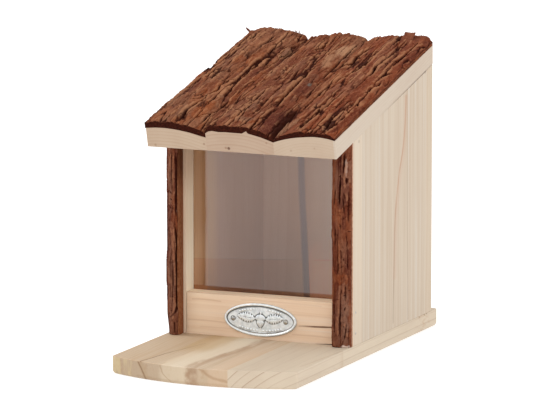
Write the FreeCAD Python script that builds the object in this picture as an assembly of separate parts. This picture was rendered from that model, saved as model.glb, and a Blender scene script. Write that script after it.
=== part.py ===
import FreeCAD, Part
import os, math

V = FreeCAD.Vector

# ---------------------------------------------------------------- driving dimensions (mm)
WIDTH = 178.0            # base, box and back are all this wide
BOARD = 16.0             # sawn board thickness: base, side panels, front board
BACK_T = 15.0            # back panel thickness
BASE_DEPTH = 323.0       # at the corners, without the bow
BASE_BOW = 21.0          # how far the front edge bows out at the middle
BASE_JOINT_X = 30.7      # glue line between the two base staves
FRONT_Y = -151.0         # base front corners
PORCH = 121.0            # base front corner to the front edges of the side panels
BOX_DEPTH = 187.0        # front edges of the side panels to the rear face of the back
SEAM_FRONT_Z = 199.4     # top of the side panels at their front edge
SEAM_REAR_Z = 245.1      # top of the back panel at its rear face
LID_GAP = 0.4            # vertical daylight between the panels and the lid
EAVE_Y = 81.4            # underside front edge of the lid, measured as the porch is
STRIP_W = 16.5           # bark strip on the front edge of each side panel
FRONT_BOARD_Z_L = 53.8   # top of the front board at its left end
FRONT_BOARD_Z_R = 54.7   # and at its right end
BOARD_GAP = 0.6          # daylight at its left end
GROOVE_W = 3.0           # pane groove
GROOVE_D = 4.0
PANE_T = 2.5
PLATE_A = 35.2           # half axes of the oval plate
PLATE_B = 15.1
PLATE_Z = 33.5
PLATE_X = 0.3
HOLE_R = 2.75            # fixing holes through the back
HOLE_Z = (75.0, 195.0)
HINGE_X = (-52.0, 52.0)
HINGE_W = 30.0
LEAF_H = 14.6            # pin axis to the leaf's free edge
LEAF_T = 1.2
KNUCKLE_R = 2.5
PIN_R = 1.2
PIN_BORE_R = 1.25
ARRIS = 0.5              # worn-off arrises of the lid and the back

HW = WIDTH / 2
Y0 = FRONT_Y
REAR_Y = Y0 + BASE_DEPTH
SIDE_Y = Y0 + PORCH                      # front edges of the side panels
BACK_Y = SIDE_Y + BOX_DEPTH              # rear face of the back panel
BACK_IN_Y = BACK_Y - BACK_T              # inner face of the back panel
SLOPE = math.atan((SEAM_REAR_Z - SEAM_FRONT_Z) / BOX_DEPTH)
CS, SN, TN = math.cos(SLOPE), math.sin(SLOPE), math.tan(SLOPE)


def seam_z(y):
    return SEAM_FRONT_Z + (y - SIDE_Y) * TN


def box(x0, y0, z0, x1, y1, z1):
    return Part.makeBox(x1 - x0, y1 - y0, z1 - z0, V(x0, y0, z0))


def face(points):
    return Part.Face(Part.makePolygon([V(*p) for p in points] + [V(*points[0])]))


def prism_x(yz, x0, x1):
    return face([(x0, y, z) for y, z in yz]).extrude(V(x1 - x0, 0, 0))


def prism_z(xy, z0, z1):
    return face([(x, y, z0) for x, y in xy]).extrude(V(0, 0, z1 - z0))


def edges_where(shape, test):
    return [e for e in shape.Edges if test(e)]


def all_at(edge, axis, value, tol=1e-4):
    return all(abs(getattr(v, axis) - value) < tol for v in edge.Vertexes)


def wood_screw(p, d, length, head_r, shank_r, head_h):
    """Countersunk screw: head face at p, pointing along d."""
    head = Part.makeCone(head_r, shank_r, head_h, p, d)
    shank = Part.makeCylinder(shank_r, length - head_h - 3.0, p + d * head_h, d)
    tip = Part.makeCone(shank_r, 0.25, 3.0, p + d * (length - 3.0), d)
    return head.fuse([shank, tip]).removeSplitter()


def screw_drive(p, d, r, depth, turn=0.0):
    """Cross slot cut into a screw head."""
    slot = box(-r, -0.32, -0.2, r, 0.32, depth)
    slot = slot.fuse(box(-0.32, -r, -0.2, 0.32, r, depth))
    slot.rotate(V(0, 0, 0), V(0, 0, 1), turn)
    slot.Placement = FreeCAD.Placement(p, FreeCAD.Rotation(V(0, 0, 1), d)).multiply(slot.Placement)
    return slot


def nail(p, d, length, head_r, shank_r, head_h=1.0):
    head = Part.makeCylinder(head_r, head_h, p, d)
    shank = Part.makeCylinder(shank_r, length - head_h - 1.6, p + d * head_h, d)
    tip = Part.makeCone(shank_r, 0.15, 1.6, p + d * (length - 1.6), d)
    return head.fuse([shank, tip]).removeSplitter()


parts = {}

# ---------------------------------------------------------------- fasteners (made first, the wood is bored to them)
base_screws, base_bore = [], []
for x, y, turn in ((-81, SIDE_Y + 26, 12), (-81, SIDE_Y + 140, 55), (81, SIDE_Y + 26, 33), (81, SIDE_Y + 140, 70),
                   (-38, BACK_Y - 7.5, 20), (38, BACK_Y - 7.5, 61)):
    s = wood_screw(V(x, y, 0.6), V(0, 0, 1), 38.0, 3.8, 1.7, 2.6)
    base_bore.append(s)
    base_bore.append(Part.makeCylinder(3.8, 0.7, V(x, y, -0.1), V(0, 0, 1)))
    base_screws.append(s.cut(screw_drive(V(x, y, 0.6), V(0, 0, 1), 2.0, 1.3, turn)))

back_screws, back_bore = [], []
for x in (-81, 81):
    for z, turn in ((34, 8), (128, 40), (222, 75)):
        p = V(x, BACK_Y - 0.3, z)
        s = wood_screw(p, V(0, -1, 0), 36.0, 3.4, 1.6, 2.4)
        back_bore.append(s)
        back_bore.append(Part.makeCylinder(3.4, 0.5, p + V(0, 0.4, 0), V(0, -1, 0)))
        back_screws.append(s.cut(screw_drive(p, V(0, -1, 0), 1.8, 1.2, turn + abs(x) / 3)))

board_nails, nail_bore = [], []
for sx in (-1, 1):
    for z in (27.0, 45.5):
        n = nail(V(sx * (HW - 0.2), SIDE_Y + 8.0, z), V(-sx, 0, 0), 34.0, 1.1, 0.75)
        board_nails.append(n)
        nail_bore.append(n)
        nail_bore.append(Part.makeCylinder(1.1, 0.4, V(sx * (HW + 0.1), SIDE_Y + 8.0, z), V(-sx, 0, 0)))

plate_pins, pin_bore = [], []
for x in (PLATE_X - 26.6, PLATE_X + 24.7):
    yf = SIDE_Y - 1.3
    shank = Part.makeCylinder(0.75, 10.0, V(x, yf, PLATE_Z), V(0, 1, 0))
    pt = Part.makeCone(0.75, 0.1, 1.6, V(x, yf + 10.0, PLATE_Z), V(0, 1, 0))
    ball = Part.makeSphere(2.3, V(x, yf + 1.25, PLATE_Z))
    cap = ball.common(box(x - 3, yf - 2, PLATE_Z - 3, x + 3, yf, PLATE_Z + 3))
    plate_pins.append(cap.fuse([shank, pt]).removeSplitter())
    pin_bore.append(shank.fuse(pt))

# ---------------------------------------------------------------- base: two staves glued edge to edge
chord = Part.Arc(V(-HW, Y0, 0), V(0, Y0 - BASE_BOW, 0), V(HW, Y0, 0)).toShape()
sides = [Part.LineSegment(a, b).toShape() for a, b in (
    (V(HW, Y0, 0), V(HW, REAR_Y, 0)),
    (V(HW, REAR_Y, 0), V(-HW, REAR_Y, 0)),
    (V(-HW, REAR_Y, 0), V(-HW, Y0, 0)))]
slab = Part.Face(Part.Wire([chord] + sides)).extrude(V(0, 0, BOARD))
corners = edges_where(slab, lambda e: len(e.Vertexes) == 2 and abs(e.Vertexes[0].X - e.Vertexes[1].X) < 1e-6
                      and abs(e.Vertexes[0].Y - e.Vertexes[1].Y) < 1e-6)
slab = slab.makeFillet(3.0, corners)
rear_low = edges_where(slab, lambda e: all_at(e, "Z", 0) and all_at(e, "Y", REAR_Y))
slab = slab.makeFillet(3.5, rear_low)
front_all = edges_where(slab, lambda e: (all_at(e, "Z", 0) or all_at(e, "Z", BOARD))
                        and all(v.Y < Y0 + 3.2 for v in e.Vertexes))
slab = slab.makeFillet(0.9, front_all)
for b in base_bore:
    slab = slab.cut(b)
big = 600.0
parts["base_stave_left"] = slab.common(box(-big, -big, -big, BASE_JOINT_X, big, big))
parts["base_stave_right"] = slab.common(box(BASE_JOINT_X, -big, -big, big, big, big))

# ---------------------------------------------------------------- side panels with a groove for the pane
GROOVE_Y = SIDE_Y + BOARD
for name, sx in (("side_panel_left", -1), ("side_panel_right", 1)):
    x_in, x_out = sx * (HW - BOARD), sx * HW
    p = prism_x([(SIDE_Y, BOARD), (BACK_IN_Y, BOARD), (BACK_IN_Y, seam_z(BACK_IN_Y)), (SIDE_Y, seam_z(SIDE_Y))], x_in, x_out)
    xa, xb = sorted((x_in - sx * 1.0, x_in + sx * GROOVE_D))
    p = p.cut(box(xa, GROOVE_Y, BOARD - 1, xb, GROOVE_Y + GROOVE_W, 260))
    for b in base_bore + back_bore + nail_bore:
        p = p.cut(b)
    parts[name] = p

# ---------------------------------------------------------------- back panel with two fixing holes
p = prism_x([(BACK_IN_Y, BOARD), (BACK_Y, BOARD), (BACK_Y, seam_z(BACK_Y)), (BACK_IN_Y, seam_z(BACK_IN_Y))], -HW, HW)
for z in HOLE_Z:
    p = p.cut(Part.makeCylinder(HOLE_R, BACK_T + 4, V(0, BACK_IN_Y - 2, z), V(0, 1, 0)))
p = p.makeFillet(ARRIS, edges_where(p, lambda e: len(e.Vertexes) == 2 and all_at(e, "Y", BACK_Y) and abs(e.Vertexes[0].X - e.Vertexes[1].X) < 1e-6
                                      and abs(abs(e.Vertexes[0].X) - HW) < 1e-4))
for b in base_bore + back_bore:
    p = p.cut(b)
back_panel = p

# ---------------------------------------------------------------- front board between the side panels
# it is cut a little short on the left and its foot rises at the right, so thin gaps show there
xi = HW - BOARD
p = face([(-xi + BOARD_GAP, SIDE_Y, BOARD), (50.0, SIDE_Y, BOARD), (xi, SIDE_Y, BOARD + 1.2),
          (xi, SIDE_Y, FRONT_BOARD_Z_R), (-xi + BOARD_GAP, SIDE_Y, FRONT_BOARD_Z_L)]).extrude(V(0, BOARD, 0))
top_edges = edges_where(p, lambda e: all(v.Z > 50 for v in e.Vertexes) and abs(e.Vertexes[0].X - e.Vertexes[1].X) > 100)
p = p.makeFillet(0.8, top_edges)
for b in nail_bore + pin_bore:
    p = p.cut(b)
parts["front_board"] = p

# ---------------------------------------------------------------- acrylic pane, slid down into the grooves
px = xi + GROOVE_D - 0.4
pane_y0 = GROOVE_Y + (GROOVE_W - PANE_T) / 2
p = box(-px, pane_y0, BOARD + 0.1, px, pane_y0 + PANE_T, seam_z(pane_y0) - 0.6)
parts["window_pane"] = p

# ---------------------------------------------------------------- oval plate: rim, sunken field, two pins
def oval(a, b, y, cx=PLATE_X, cz=PLATE_Z):
    e = Part.Ellipse(V(cx, y, cz), a, b)
    s = Part.Wire([e.toShape()])
    s.rotate(V(cx, y, cz), V(1, 0, 0), 90)
    return Part.Face(s)

disc = oval(PLATE_A, PLATE_B, SIDE_Y).extrude(V(0, -1.9, 0))
well = oval(PLATE_A - 2.0, PLATE_B - 2.0, SIDE_Y - 1.3).extrude(V(0, -3, 0))
plate = disc.cut(well)
rim = [e for e in plate.Edges if all(abs(v.Y - (SIDE_Y - 1.9)) < 1e-4 for v in e.Vertexes)]
plate = plate.makeFillet(0.35, rim)
for b in pin_bore:
    plate = plate.cut(b)
parts["oval_plate"] = plate

# ---------------------------------------------------------------- bark strips on the front edges of the side panels
def strip(xy, z0):
    s = prism_z([(x, y + Y0) for x, y in xy], z0, 240.0)
    lid = prism_x([(-200, seam_z(-200) - 0.3), (300, seam_z(300) - 0.3), (300, 400), (-200, 400)], -300, 300)
    return s.cut(lid)

parts["bark_strip_left"] = strip([(-75.8, PORCH), (-74.3, 112.4), (-74.9, 108.2), (-76.8, 106.1), (-80.0, 105.7),
                                  (-83.5, 107.0), (-86.6, 110.4), (-88.6, 114.6), (-89.6, PORCH)], BOARD + 0.3)
parts["bark_strip_right"] = strip([(72.5, PORCH), (72.5, 113.0), (75.5, 112.2), (79.0, 112.0), (82.0, 112.5),
                                   (86.0, 114.6), (88.8, 117.4), (89.6, PORCH)], BOARD + 0.3)

# ---------------------------------------------------------------- lid: three sawn slabs glued side by side, bark left on top
# Sections are (x, thickness) lists, perpendicular to the slope, at the eave and at the rear.
UNDER_FRONT = V(0, Y0 + EAVE_Y, seam_z(Y0 + EAVE_Y) + LID_GAP)
ALONG = V(0, CS, SN)
UP = V(0, -SN, CS)
LEN = 250.0

slab1 = dict(
    wf=[(-92, 17.9), (-83, 18.8), (-73, 19.0), (-65, 18.4), (-58.4, 17.6), (-49, 16.0), (-39.5, 13.6), (-34, 12.4)],
    bf=[(-92, 23.6), (-83, 25.0), (-73, 25.4), (-65, 24.9), (-58.4, 24.0), (-49, 21.9), (-39.5, 18.6), (-34, 16.4)],
    wr=[(-92, 15.5), (-83, 17.0), (-73, 17.6), (-65, 17.4), (-58.4, 17.0), (-49, 15.3), (-39.5, 12.9), (-34, 11.6)],
    br=[(-92, 19.4), (-83, 22.0), (-73, 23.4), (-65, 23.1), (-58.4, 22.6), (-49, 21.3), (-39.5, 18.4), (-34, 16.2)])
slab2 = dict(
    wf=[(-34, 16.6), (-31, 18.4), (-27.5, 19.2), (-21, 18.5), (-14.6, 18.8), (-6, 18.7), (1.5, 18.6), (5.8, 21.0),
        (7.4, 18.9), (19, 16.2), (25, 14.2), (31, 12.1)],
    bf=[(-34, 22.0), (-31, 24.8), (-27.5, 25.4), (-21, 25.3), (-14.6, 25.0), (-6, 24.7), (1.5, 24.4), (5.8, 24.2),
        (7.4, 23.9), (19, 21.6), (25, 19.6), (31, 16.6)],
    wr=[(-34, 13.0), (-31, 14.0), (-27.5, 15.0), (-21, 15.9), (-14.6, 16.4), (-6, 16.7), (0, 16.7), (4, 16.6),
        (6.5, 16.5), (16, 15.3), (21, 14.0), (26, 12.0)],
    br=[(-34, 16.6), (-31, 17.6), (-27.5, 18.4), (-21, 19.6), (-14.6, 20.6), (-6, 21.3), (0, 21.5), (4, 21.5),
        (6.5, 21.4), (16, 21.0), (21, 19.8), (26, 17.4)])
slab3 = dict(
    wf=[(31, 12.1), (37, 14.2), (43, 15.9), (49, 17.3), (55, 18.3), (63, 19.3), (70, 19.9), (77, 19.7), (84, 18.8), (90.5, 17.3)],
    bf=[(31, 16.2), (37, 17.6), (43, 19.8), (49, 21.8), (55, 23.2), (63, 23.9), (70, 24.1), (77, 24.0), (84, 22.6), (90.5, 20.4)],
    wr=[(26, 12.0), (32, 14.0), (38.5, 15.3), (45, 16.2), (52, 17.0), (60, 17.8), (67.5, 18.0), (75, 17.8), (82, 17.3), (89.1, 16.6)],
    br=[(26, 17.0), (32, 20.0), (38.5, 21.3), (45, 22.1), (52, 22.9), (60, 23.9), (67.5, 24.6), (75, 24.4), (82, 24.0), (89.1, 21.8)])


def section(top, low, s):
    """Closed wire: low profile left to right, then the top profile back."""
    pts = [UNDER_FRONT + ALONG * s + V(x, 0, 0) + UP * t for x, t in low + top[::-1]]
    return Part.makePolygon(pts + [pts[0]])


def extrapolate(front, rear, s_rear, s):
    k = s / s_rear
    return [(a[0] + (b[0] - a[0]) * k, a[1] + (b[1] - a[1]) * k) for a, b in zip(front, rear)]


def under(v):
    """Height of a point above the lid's underside, square to the slope."""
    return (v.Point - UNDER_FRONT).dot(UP)


def along(v):
    return (v.Point - UNDER_FRONT).dot(ALONG)


REAR_S = BOX_DEPTH / CS + (PORCH - EAVE_Y) / CS       # slope length to the plumb rear face, at the underside
behind = box(-big, BACK_Y, -big, big, big, big)
lid_parts = {}
for n, d in (("left", slab1), ("middle", slab2), ("right", slab3)):
    wr = extrapolate(d["wf"], d["wr"], REAR_S, LEN)
    br = extrapolate(d["bf"], d["br"], REAR_S, LEN)
    flat_f = [(x, 0.0) for x, _ in d["wf"]]
    flat_r = [(x, 0.0) for x, _ in wr]
    wood = Part.makeLoft([section(d["wf"], [flat_f[0], flat_f[-1]], 0.0), section(wr, [flat_r[0], flat_r[-1]], LEN)], True, True)
    bark = Part.makeLoft([section(d["bf"], d["wf"], 0.0), section(br, wr, LEN)], True, True)
    wood = wood.cut(behind)
    outer = {"left": -1, "middle": 0, "right": 1}[n]
    low_front = [q for q in wood.Edges if all(abs(under(v)) < 1e-3 and abs(along(v)) < 1e-3 for v in q.Vertexes)]
    low_side = [q for q in wood.Edges if outer and all(abs(under(v)) < 1e-3 for v in q.Vertexes)
                and abs(along(q.Vertexes[0]) - along(q.Vertexes[1])) > 50 and all(outer * v.X > 60 for v in q.Vertexes)]
    front_corner = [q for q in wood.Edges if outer and all(abs(along(v)) < 1e-3 and outer * v.X > 85 for v in q.Vertexes)]
    print("arrises", n, len(low_front), len(low_side), len(front_corner))
    wood = wood.makeFillet(ARRIS, low_front + low_side + front_corner)
    lid_parts["lid_slab_" + n] = wood
    lid_parts["lid_bark_" + n] = bark.cut(behind)

# ---------------------------------------------------------------- two butt hinges behind the seam
AX_Y = BACK_Y + KNUCKLE_R + 0.1
AX_Z = SEAM_REAR_Z + LID_GAP / 2
lid_screws, body_screws, lid_bore, body_bore = [], [], [], []
for side, hx in zip(("left", "right"), HINGE_X):
    step = HINGE_W / 5
    x0 = hx - HINGE_W / 2
    for role, up, own in (("lid", 1, (1, 3)), ("body", -1, (0, 2, 4))):
        z_far = AX_Z + up * LEAF_H
        za, zb = sorted((AX_Z + up * 0.9, z_far))
        leaf = box(x0, BACK_Y, za, x0 + HINGE_W, BACK_Y + LEAF_T, zb)
        ends = edges_where(leaf, lambda e: abs(e.Vertexes[0].X - e.Vertexes[1].X) < 1e-6 and abs(e.Vertexes[0].Z - z_far) < 1e-4
                           and abs(e.Vertexes[1].Z - z_far) < 1e-4)
        leaf = leaf.makeFillet(1.5, ends)
        for k in range(5):
            xa, xb = x0 + k * step + 0.1, x0 + (k + 1) * step - 0.1
            if k in own:
                leaf = leaf.fuse(Part.makeCylinder(KNUCKLE_R, xb - xa, V(xa, AX_Y, AX_Z), V(1, 0, 0)))
            else:
                leaf = leaf.cut(Part.makeCylinder(KNUCKLE_R + 0.25, step, V(x0 + k * step, AX_Y, AX_Z), V(1, 0, 0)))
        leaf = leaf.cut(Part.makeCylinder(PIN_BORE_R, HINGE_W + 2, V(x0 - 1, AX_Y, AX_Z), V(1, 0, 0)))
        leaf = leaf.removeSplitter()
        for dx, turn in ((-9.0, 25), (9.0, 65)):
            p0 = V(hx + dx, BACK_Y + LEAF_T - 0.05, AX_Z + up * 8.6)
            s = wood_screw(p0, V(0, -1, 0), 12.0, 2.7, 1.25, 1.6)
            (lid_bore if role == "lid" else body_bore).append(s)
            leaf = leaf.cut(s).cut(Part.makeCylinder(2.7, 0.2, p0 + V(0, 0.1, 0), V(0, -1, 0)))
            (lid_screws if role == "lid" else body_screws).append(
                s.cut(screw_drive(p0, V(0, -1, 0), 1.4, 0.8, turn + hx)))
        parts["hinge_%s_leaf_%s" % (role, side)] = leaf
    pin = Part.makeCylinder(PIN_R, HINGE_W, V(x0, AX_Y, AX_Z), V(1, 0, 0))
    for xe, dx in ((x0, -1), (x0 + HINGE_W, 1)):
        pin = pin.fuse(Part.makeCylinder(1.9, 0.6, V(xe, AX_Y, AX_Z), V(dx, 0, 0)))
    parts["hinge_pin_" + side] = pin.removeSplitter()

for b in body_bore:
    back_panel = back_panel.cut(b)
parts["back_panel"] = back_panel
for n, s in lid_parts.items():
    if "slab" in n:
        for b in lid_bore:
            s = s.cut(b)
    parts[n] = s

parts["base_screws"] = Part.makeCompound(base_screws)
parts["back_screws"] = Part.makeCompound(back_screws)
parts["front_board_nails"] = Part.makeCompound(board_nails)
parts["plate_pins"] = Part.makeCompound(plate_pins)
parts["hinge_lid_screws"] = Part.makeCompound(lid_screws)
parts["hinge_body_screws"] = Part.makeCompound(body_screws)

# ---------------------------------------------------------------- write
os.makedirs("parts", exist_ok=True)
for old in os.listdir("parts"):
    if old.endswith(".step"):
        os.remove(os.path.join("parts", old))
for name in sorted(parts):
    s = parts[name]
    solids = s.Solids
    ok = all(x.isValid() for x in solids)
    bb = s.BoundBox
    print("%-24s solids %d valid %s vol %.1f  x %.2f..%.2f y %.2f..%.2f z %.2f..%.2f" % (
        name, len(solids), ok, s.Volume, bb.XMin, bb.XMax, bb.YMin, bb.YMax, bb.ZMin, bb.ZMax))
    out = solids[0] if len(solids) == 1 else Part.makeCompound(solids)
    out.exportStep("parts/%s.step" % name)
print("hinge axis y %.3f z %.3f  slope %.3f deg" % (AX_Y, AX_Z, math.degrees(SLOPE)))
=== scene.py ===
import math

import bmesh
import bpy
import numpy as np
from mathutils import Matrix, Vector


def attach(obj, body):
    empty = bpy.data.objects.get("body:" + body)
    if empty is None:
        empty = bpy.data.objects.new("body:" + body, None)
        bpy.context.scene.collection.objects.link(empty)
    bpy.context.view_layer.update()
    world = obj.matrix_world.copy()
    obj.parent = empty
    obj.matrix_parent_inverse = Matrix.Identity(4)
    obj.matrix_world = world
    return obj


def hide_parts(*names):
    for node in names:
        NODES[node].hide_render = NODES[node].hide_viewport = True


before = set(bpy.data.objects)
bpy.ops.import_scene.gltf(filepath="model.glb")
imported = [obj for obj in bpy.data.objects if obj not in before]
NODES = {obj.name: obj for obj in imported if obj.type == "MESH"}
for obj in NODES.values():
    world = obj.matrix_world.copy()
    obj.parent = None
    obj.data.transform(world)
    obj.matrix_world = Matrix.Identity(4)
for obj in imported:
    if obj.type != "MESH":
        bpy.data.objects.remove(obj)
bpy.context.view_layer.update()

SCENE = bpy.context.scene

# ------------------------------------------------------------------ the object's frame, in mm
SLOPE = math.atan((245.1 - 199.4) / 187.0)
CS, SN, TN = math.cos(SLOPE), math.sin(SLOPE), math.tan(SLOPE)
SIDE_Y, BACK_Y = -30.0, 157.0
EAVE = np.array([0.0, -69.6, 199.4 + (-69.6 - SIDE_Y) * TN + 0.4])
ALONG = np.array([0.0, CS, SN])
UP = np.array([0.0, -SN, CS])
ACROSS = np.array([1.0, 0.0, 0.0])
REAR_S = (BACK_Y - EAVE[1]) / CS


def seam_z(y):
    return 199.4 + (y - SIDE_Y) * TN


# ------------------------------------------------------------------ seeded noise on arrays
def _hash(ix, iy, seed):
    h = (ix * 374761393 + iy * 668265263 + seed * 1442695041) & 0xFFFFFFFF
    h = ((h ^ (h >> 13)) * 1274126177) & 0xFFFFFFFF
    h = ((h ^ (h >> 16)) * 1911520717) & 0xFFFFFFFF
    return (h ^ (h >> 15)) / 4294967296.0


def grad(x, y, seed):
    """Gradient noise, about -1 to 1."""
    x, y = np.broadcast_arrays(np.asarray(x, float), np.asarray(y, float))
    x0, y0 = np.floor(x), np.floor(y)
    fx, fy = x - x0, y - y0
    ix, iy = x0.astype(np.int64), y0.astype(np.int64)
    u = fx * fx * fx * (fx * (fx * 6 - 15) + 10)
    v = fy * fy * fy * (fy * (fy * 6 - 15) + 10)

    def corner(dx, dy):
        a = _hash(ix + dx, iy + dy, seed) * 2 * math.pi
        return np.cos(a) * (fx - dx) + np.sin(a) * (fy - dy)

    low = corner(0, 0) * (1 - u) + corner(1, 0) * u
    high = corner(0, 1) * (1 - u) + corner(1, 1) * u
    return (low * (1 - v) + high * v) * 1.55


def fbm(x, y, seed, octaves=4, gain=0.5, lac=2.07):
    total, amp, norm = 0.0, 1.0, 0.0
    for k in range(octaves):
        total = total + amp * grad(x * lac ** k, y * lac ** k, seed + 101 * k)
        norm += amp
        amp *= gain
    return total / norm


def cells(x, y, seed, jitter=0.9):
    """Voronoi: (distance to the border, random number of the cell, offset from its point in x and y), in cell units."""
    x, y = np.broadcast_arrays(np.asarray(x, float), np.asarray(y, float))
    ix, iy = np.floor(x).astype(np.int64), np.floor(y).astype(np.int64)
    best = np.full(x.shape, 1e9)
    bx, by, br = np.zeros(x.shape), np.zeros(x.shape), np.zeros(x.shape)
    points = []
    for dx in (-2, -1, 0, 1, 2):
        for dy in (-2, -1, 0, 1, 2):
            if abs(dx) == 2 and abs(dy) == 2:
                continue
            cx, cy = ix + dx, iy + dy
            px = cx + 0.5 + (_hash(cx, cy, seed) - 0.5) * jitter
            py = cy + 0.5 + (_hash(cx, cy, seed + 7) - 0.5) * jitter
            points.append((px, py))
            d = (px - x) ** 2 + (py - y) ** 2
            m = d < best
            best = np.where(m, d, best)
            bx, by = np.where(m, px, bx), np.where(m, py, by)
            br = np.where(m, _hash(cx, cy, seed + 13), br)
    edge = np.full(x.shape, 1e9)
    for px, py in points:
        vx, vy = px - bx, py - by
        length = np.sqrt(vx * vx + vy * vy)
        ok = length > 1e-6
        safe = np.where(ok, length, 1)
        d = ((px + bx) / 2 - x) * vx / safe + ((py + by) / 2 - y) * vy / safe
        edge = np.where(ok, np.minimum(edge, d), edge)
    return np.maximum(edge, 0), br, x - bx, y - by


def sat(v):
    return np.clip(v, 0.0, 1.0)


def ease(a, b, v):
    t = sat((v - a) / (b - a))
    return t * t * (3 - 2 * t)


def blur(a, nx, ny):
    """Box blur of a grid with reflected borders, twice."""
    for _ in range(2):
        for axis, n in ((0, nx), (1, ny)):
            if n < 1:
                continue
            p = np.concatenate([np.flip(np.take(a, range(1, n + 1), axis), axis), a,
                                np.flip(np.take(a, range(a.shape[axis] - n - 1, a.shape[axis] - 1), axis), axis)], axis)
            c = np.cumsum(p, axis)
            c = np.concatenate([np.zeros_like(np.take(c, [0], axis)), c], axis)
            w = 2 * n + 1
            hi = np.take(c, range(w, c.shape[axis]), axis)
            lo = np.take(c, range(0, c.shape[axis] - w), axis)
            a = (hi - lo) / w
    return a


def to_path(px, py, path):
    """Distance of each point to a polyline of (x, y), how far along it that is, 0 to 1, and on which side, -1 or 1."""
    path = np.asarray(path, float)
    seg = np.diff(path, axis=0)
    lens = np.hypot(seg[:, 0], seg[:, 1])
    start = np.concatenate([[0], np.cumsum(lens)])
    best, along, side = np.full(px.shape, 1e9), np.zeros(px.shape), np.ones(px.shape)
    for i, (sx, sy) in enumerate(seg):
        t = sat(((px - path[i, 0]) * sx + (py - path[i, 1]) * sy) / max(lens[i] ** 2, 1e-9))
        d = np.hypot(px - path[i, 0] - t * sx, py - path[i, 1] - t * sy)
        m = d < best
        best = np.where(m, d, best)
        along = np.where(m, (start[i] + t * lens[i]) / start[-1], along)
        side = np.where(m, np.where((px - path[i, 0]) * sy - (py - path[i, 1]) * sx > 0, 1.0, -1.0), side)
    return best, along, side


# ------------------------------------------------------------------ meshes
def new_mesh(name, verts, faces, material, attrs=None, smooth=True):
    """verts in mm. attrs: {name: one number per vertex}."""
    mesh = bpy.data.meshes.new(name)
    mesh.from_pydata((np.asarray(verts, float) / 1000.0).tolist(), [], [list(map(int, f)) for f in faces])
    mesh.validate()
    for key, values in (attrs or {}).items():
        layer = mesh.attributes.new(key, "FLOAT", "POINT")
        layer.data.foreach_set("value", np.asarray(values, np.float32))
    mesh.materials.append(material)
    if smooth:
        mesh.polygons.foreach_set("use_smooth", np.ones(len(mesh.polygons), bool))
    mesh.update()
    obj = bpy.data.objects.new(name, mesh)
    SCENE.collection.objects.link(obj)
    return obj


def grid_quads(nu, nv, base=0, flip=False):
    """Quads of a grid whose vertex (i, j) is base + i * nv + j."""
    i, j = np.meshgrid(np.arange(nu - 1), np.arange(nv - 1), indexing="ij")
    a = base + i * nv + j
    q = np.stack([a, a + nv, a + nv + 1, a + 1], -1).reshape(-1, 4)
    return q[:, ::-1] if flip else q


def stitch(a, b, pa, pb):
    """Triangles between two rows of vertex numbers a and b, which run side by side with places pa and pb."""
    out, i, j = [], 0, 0
    while i < len(a) - 1 or j < len(b) - 1:
        if j == len(b) - 1 or (i < len(a) - 1 and pa[i + 1] <= pb[j + 1]):
            out.append((a[i], a[i + 1], b[j]))
            i += 1
        else:
            out.append((a[i], b[j + 1], b[j]))
            j += 1
    return out


def right_way(obj):
    """Turns the faces of a closed mesh outwards."""
    bm = bmesh.new()
    bm.from_mesh(obj.data)
    bmesh.ops.recalc_face_normals(bm, faces=bm.faces)
    bm.to_mesh(obj.data)
    bm.free()
    return obj


def join(objs, name):
    """One object of several, by mesh data, with their attributes kept."""
    first = objs[0]
    with bpy.context.temp_override(active_object=first, selected_editable_objects=objs, selected_objects=objs):
        bpy.ops.object.join()
    first.name = name
    first.data.name = name
    return first


# ------------------------------------------------------------------ node graphs
def srgb(r, g, b):
    def lin(v):
        v = v / 255.0
        return v / 12.92 if v <= 0.04045 else ((v + 0.055) / 1.055) ** 2.4
    return (lin(r), lin(g), lin(b), 1.0)


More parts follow.
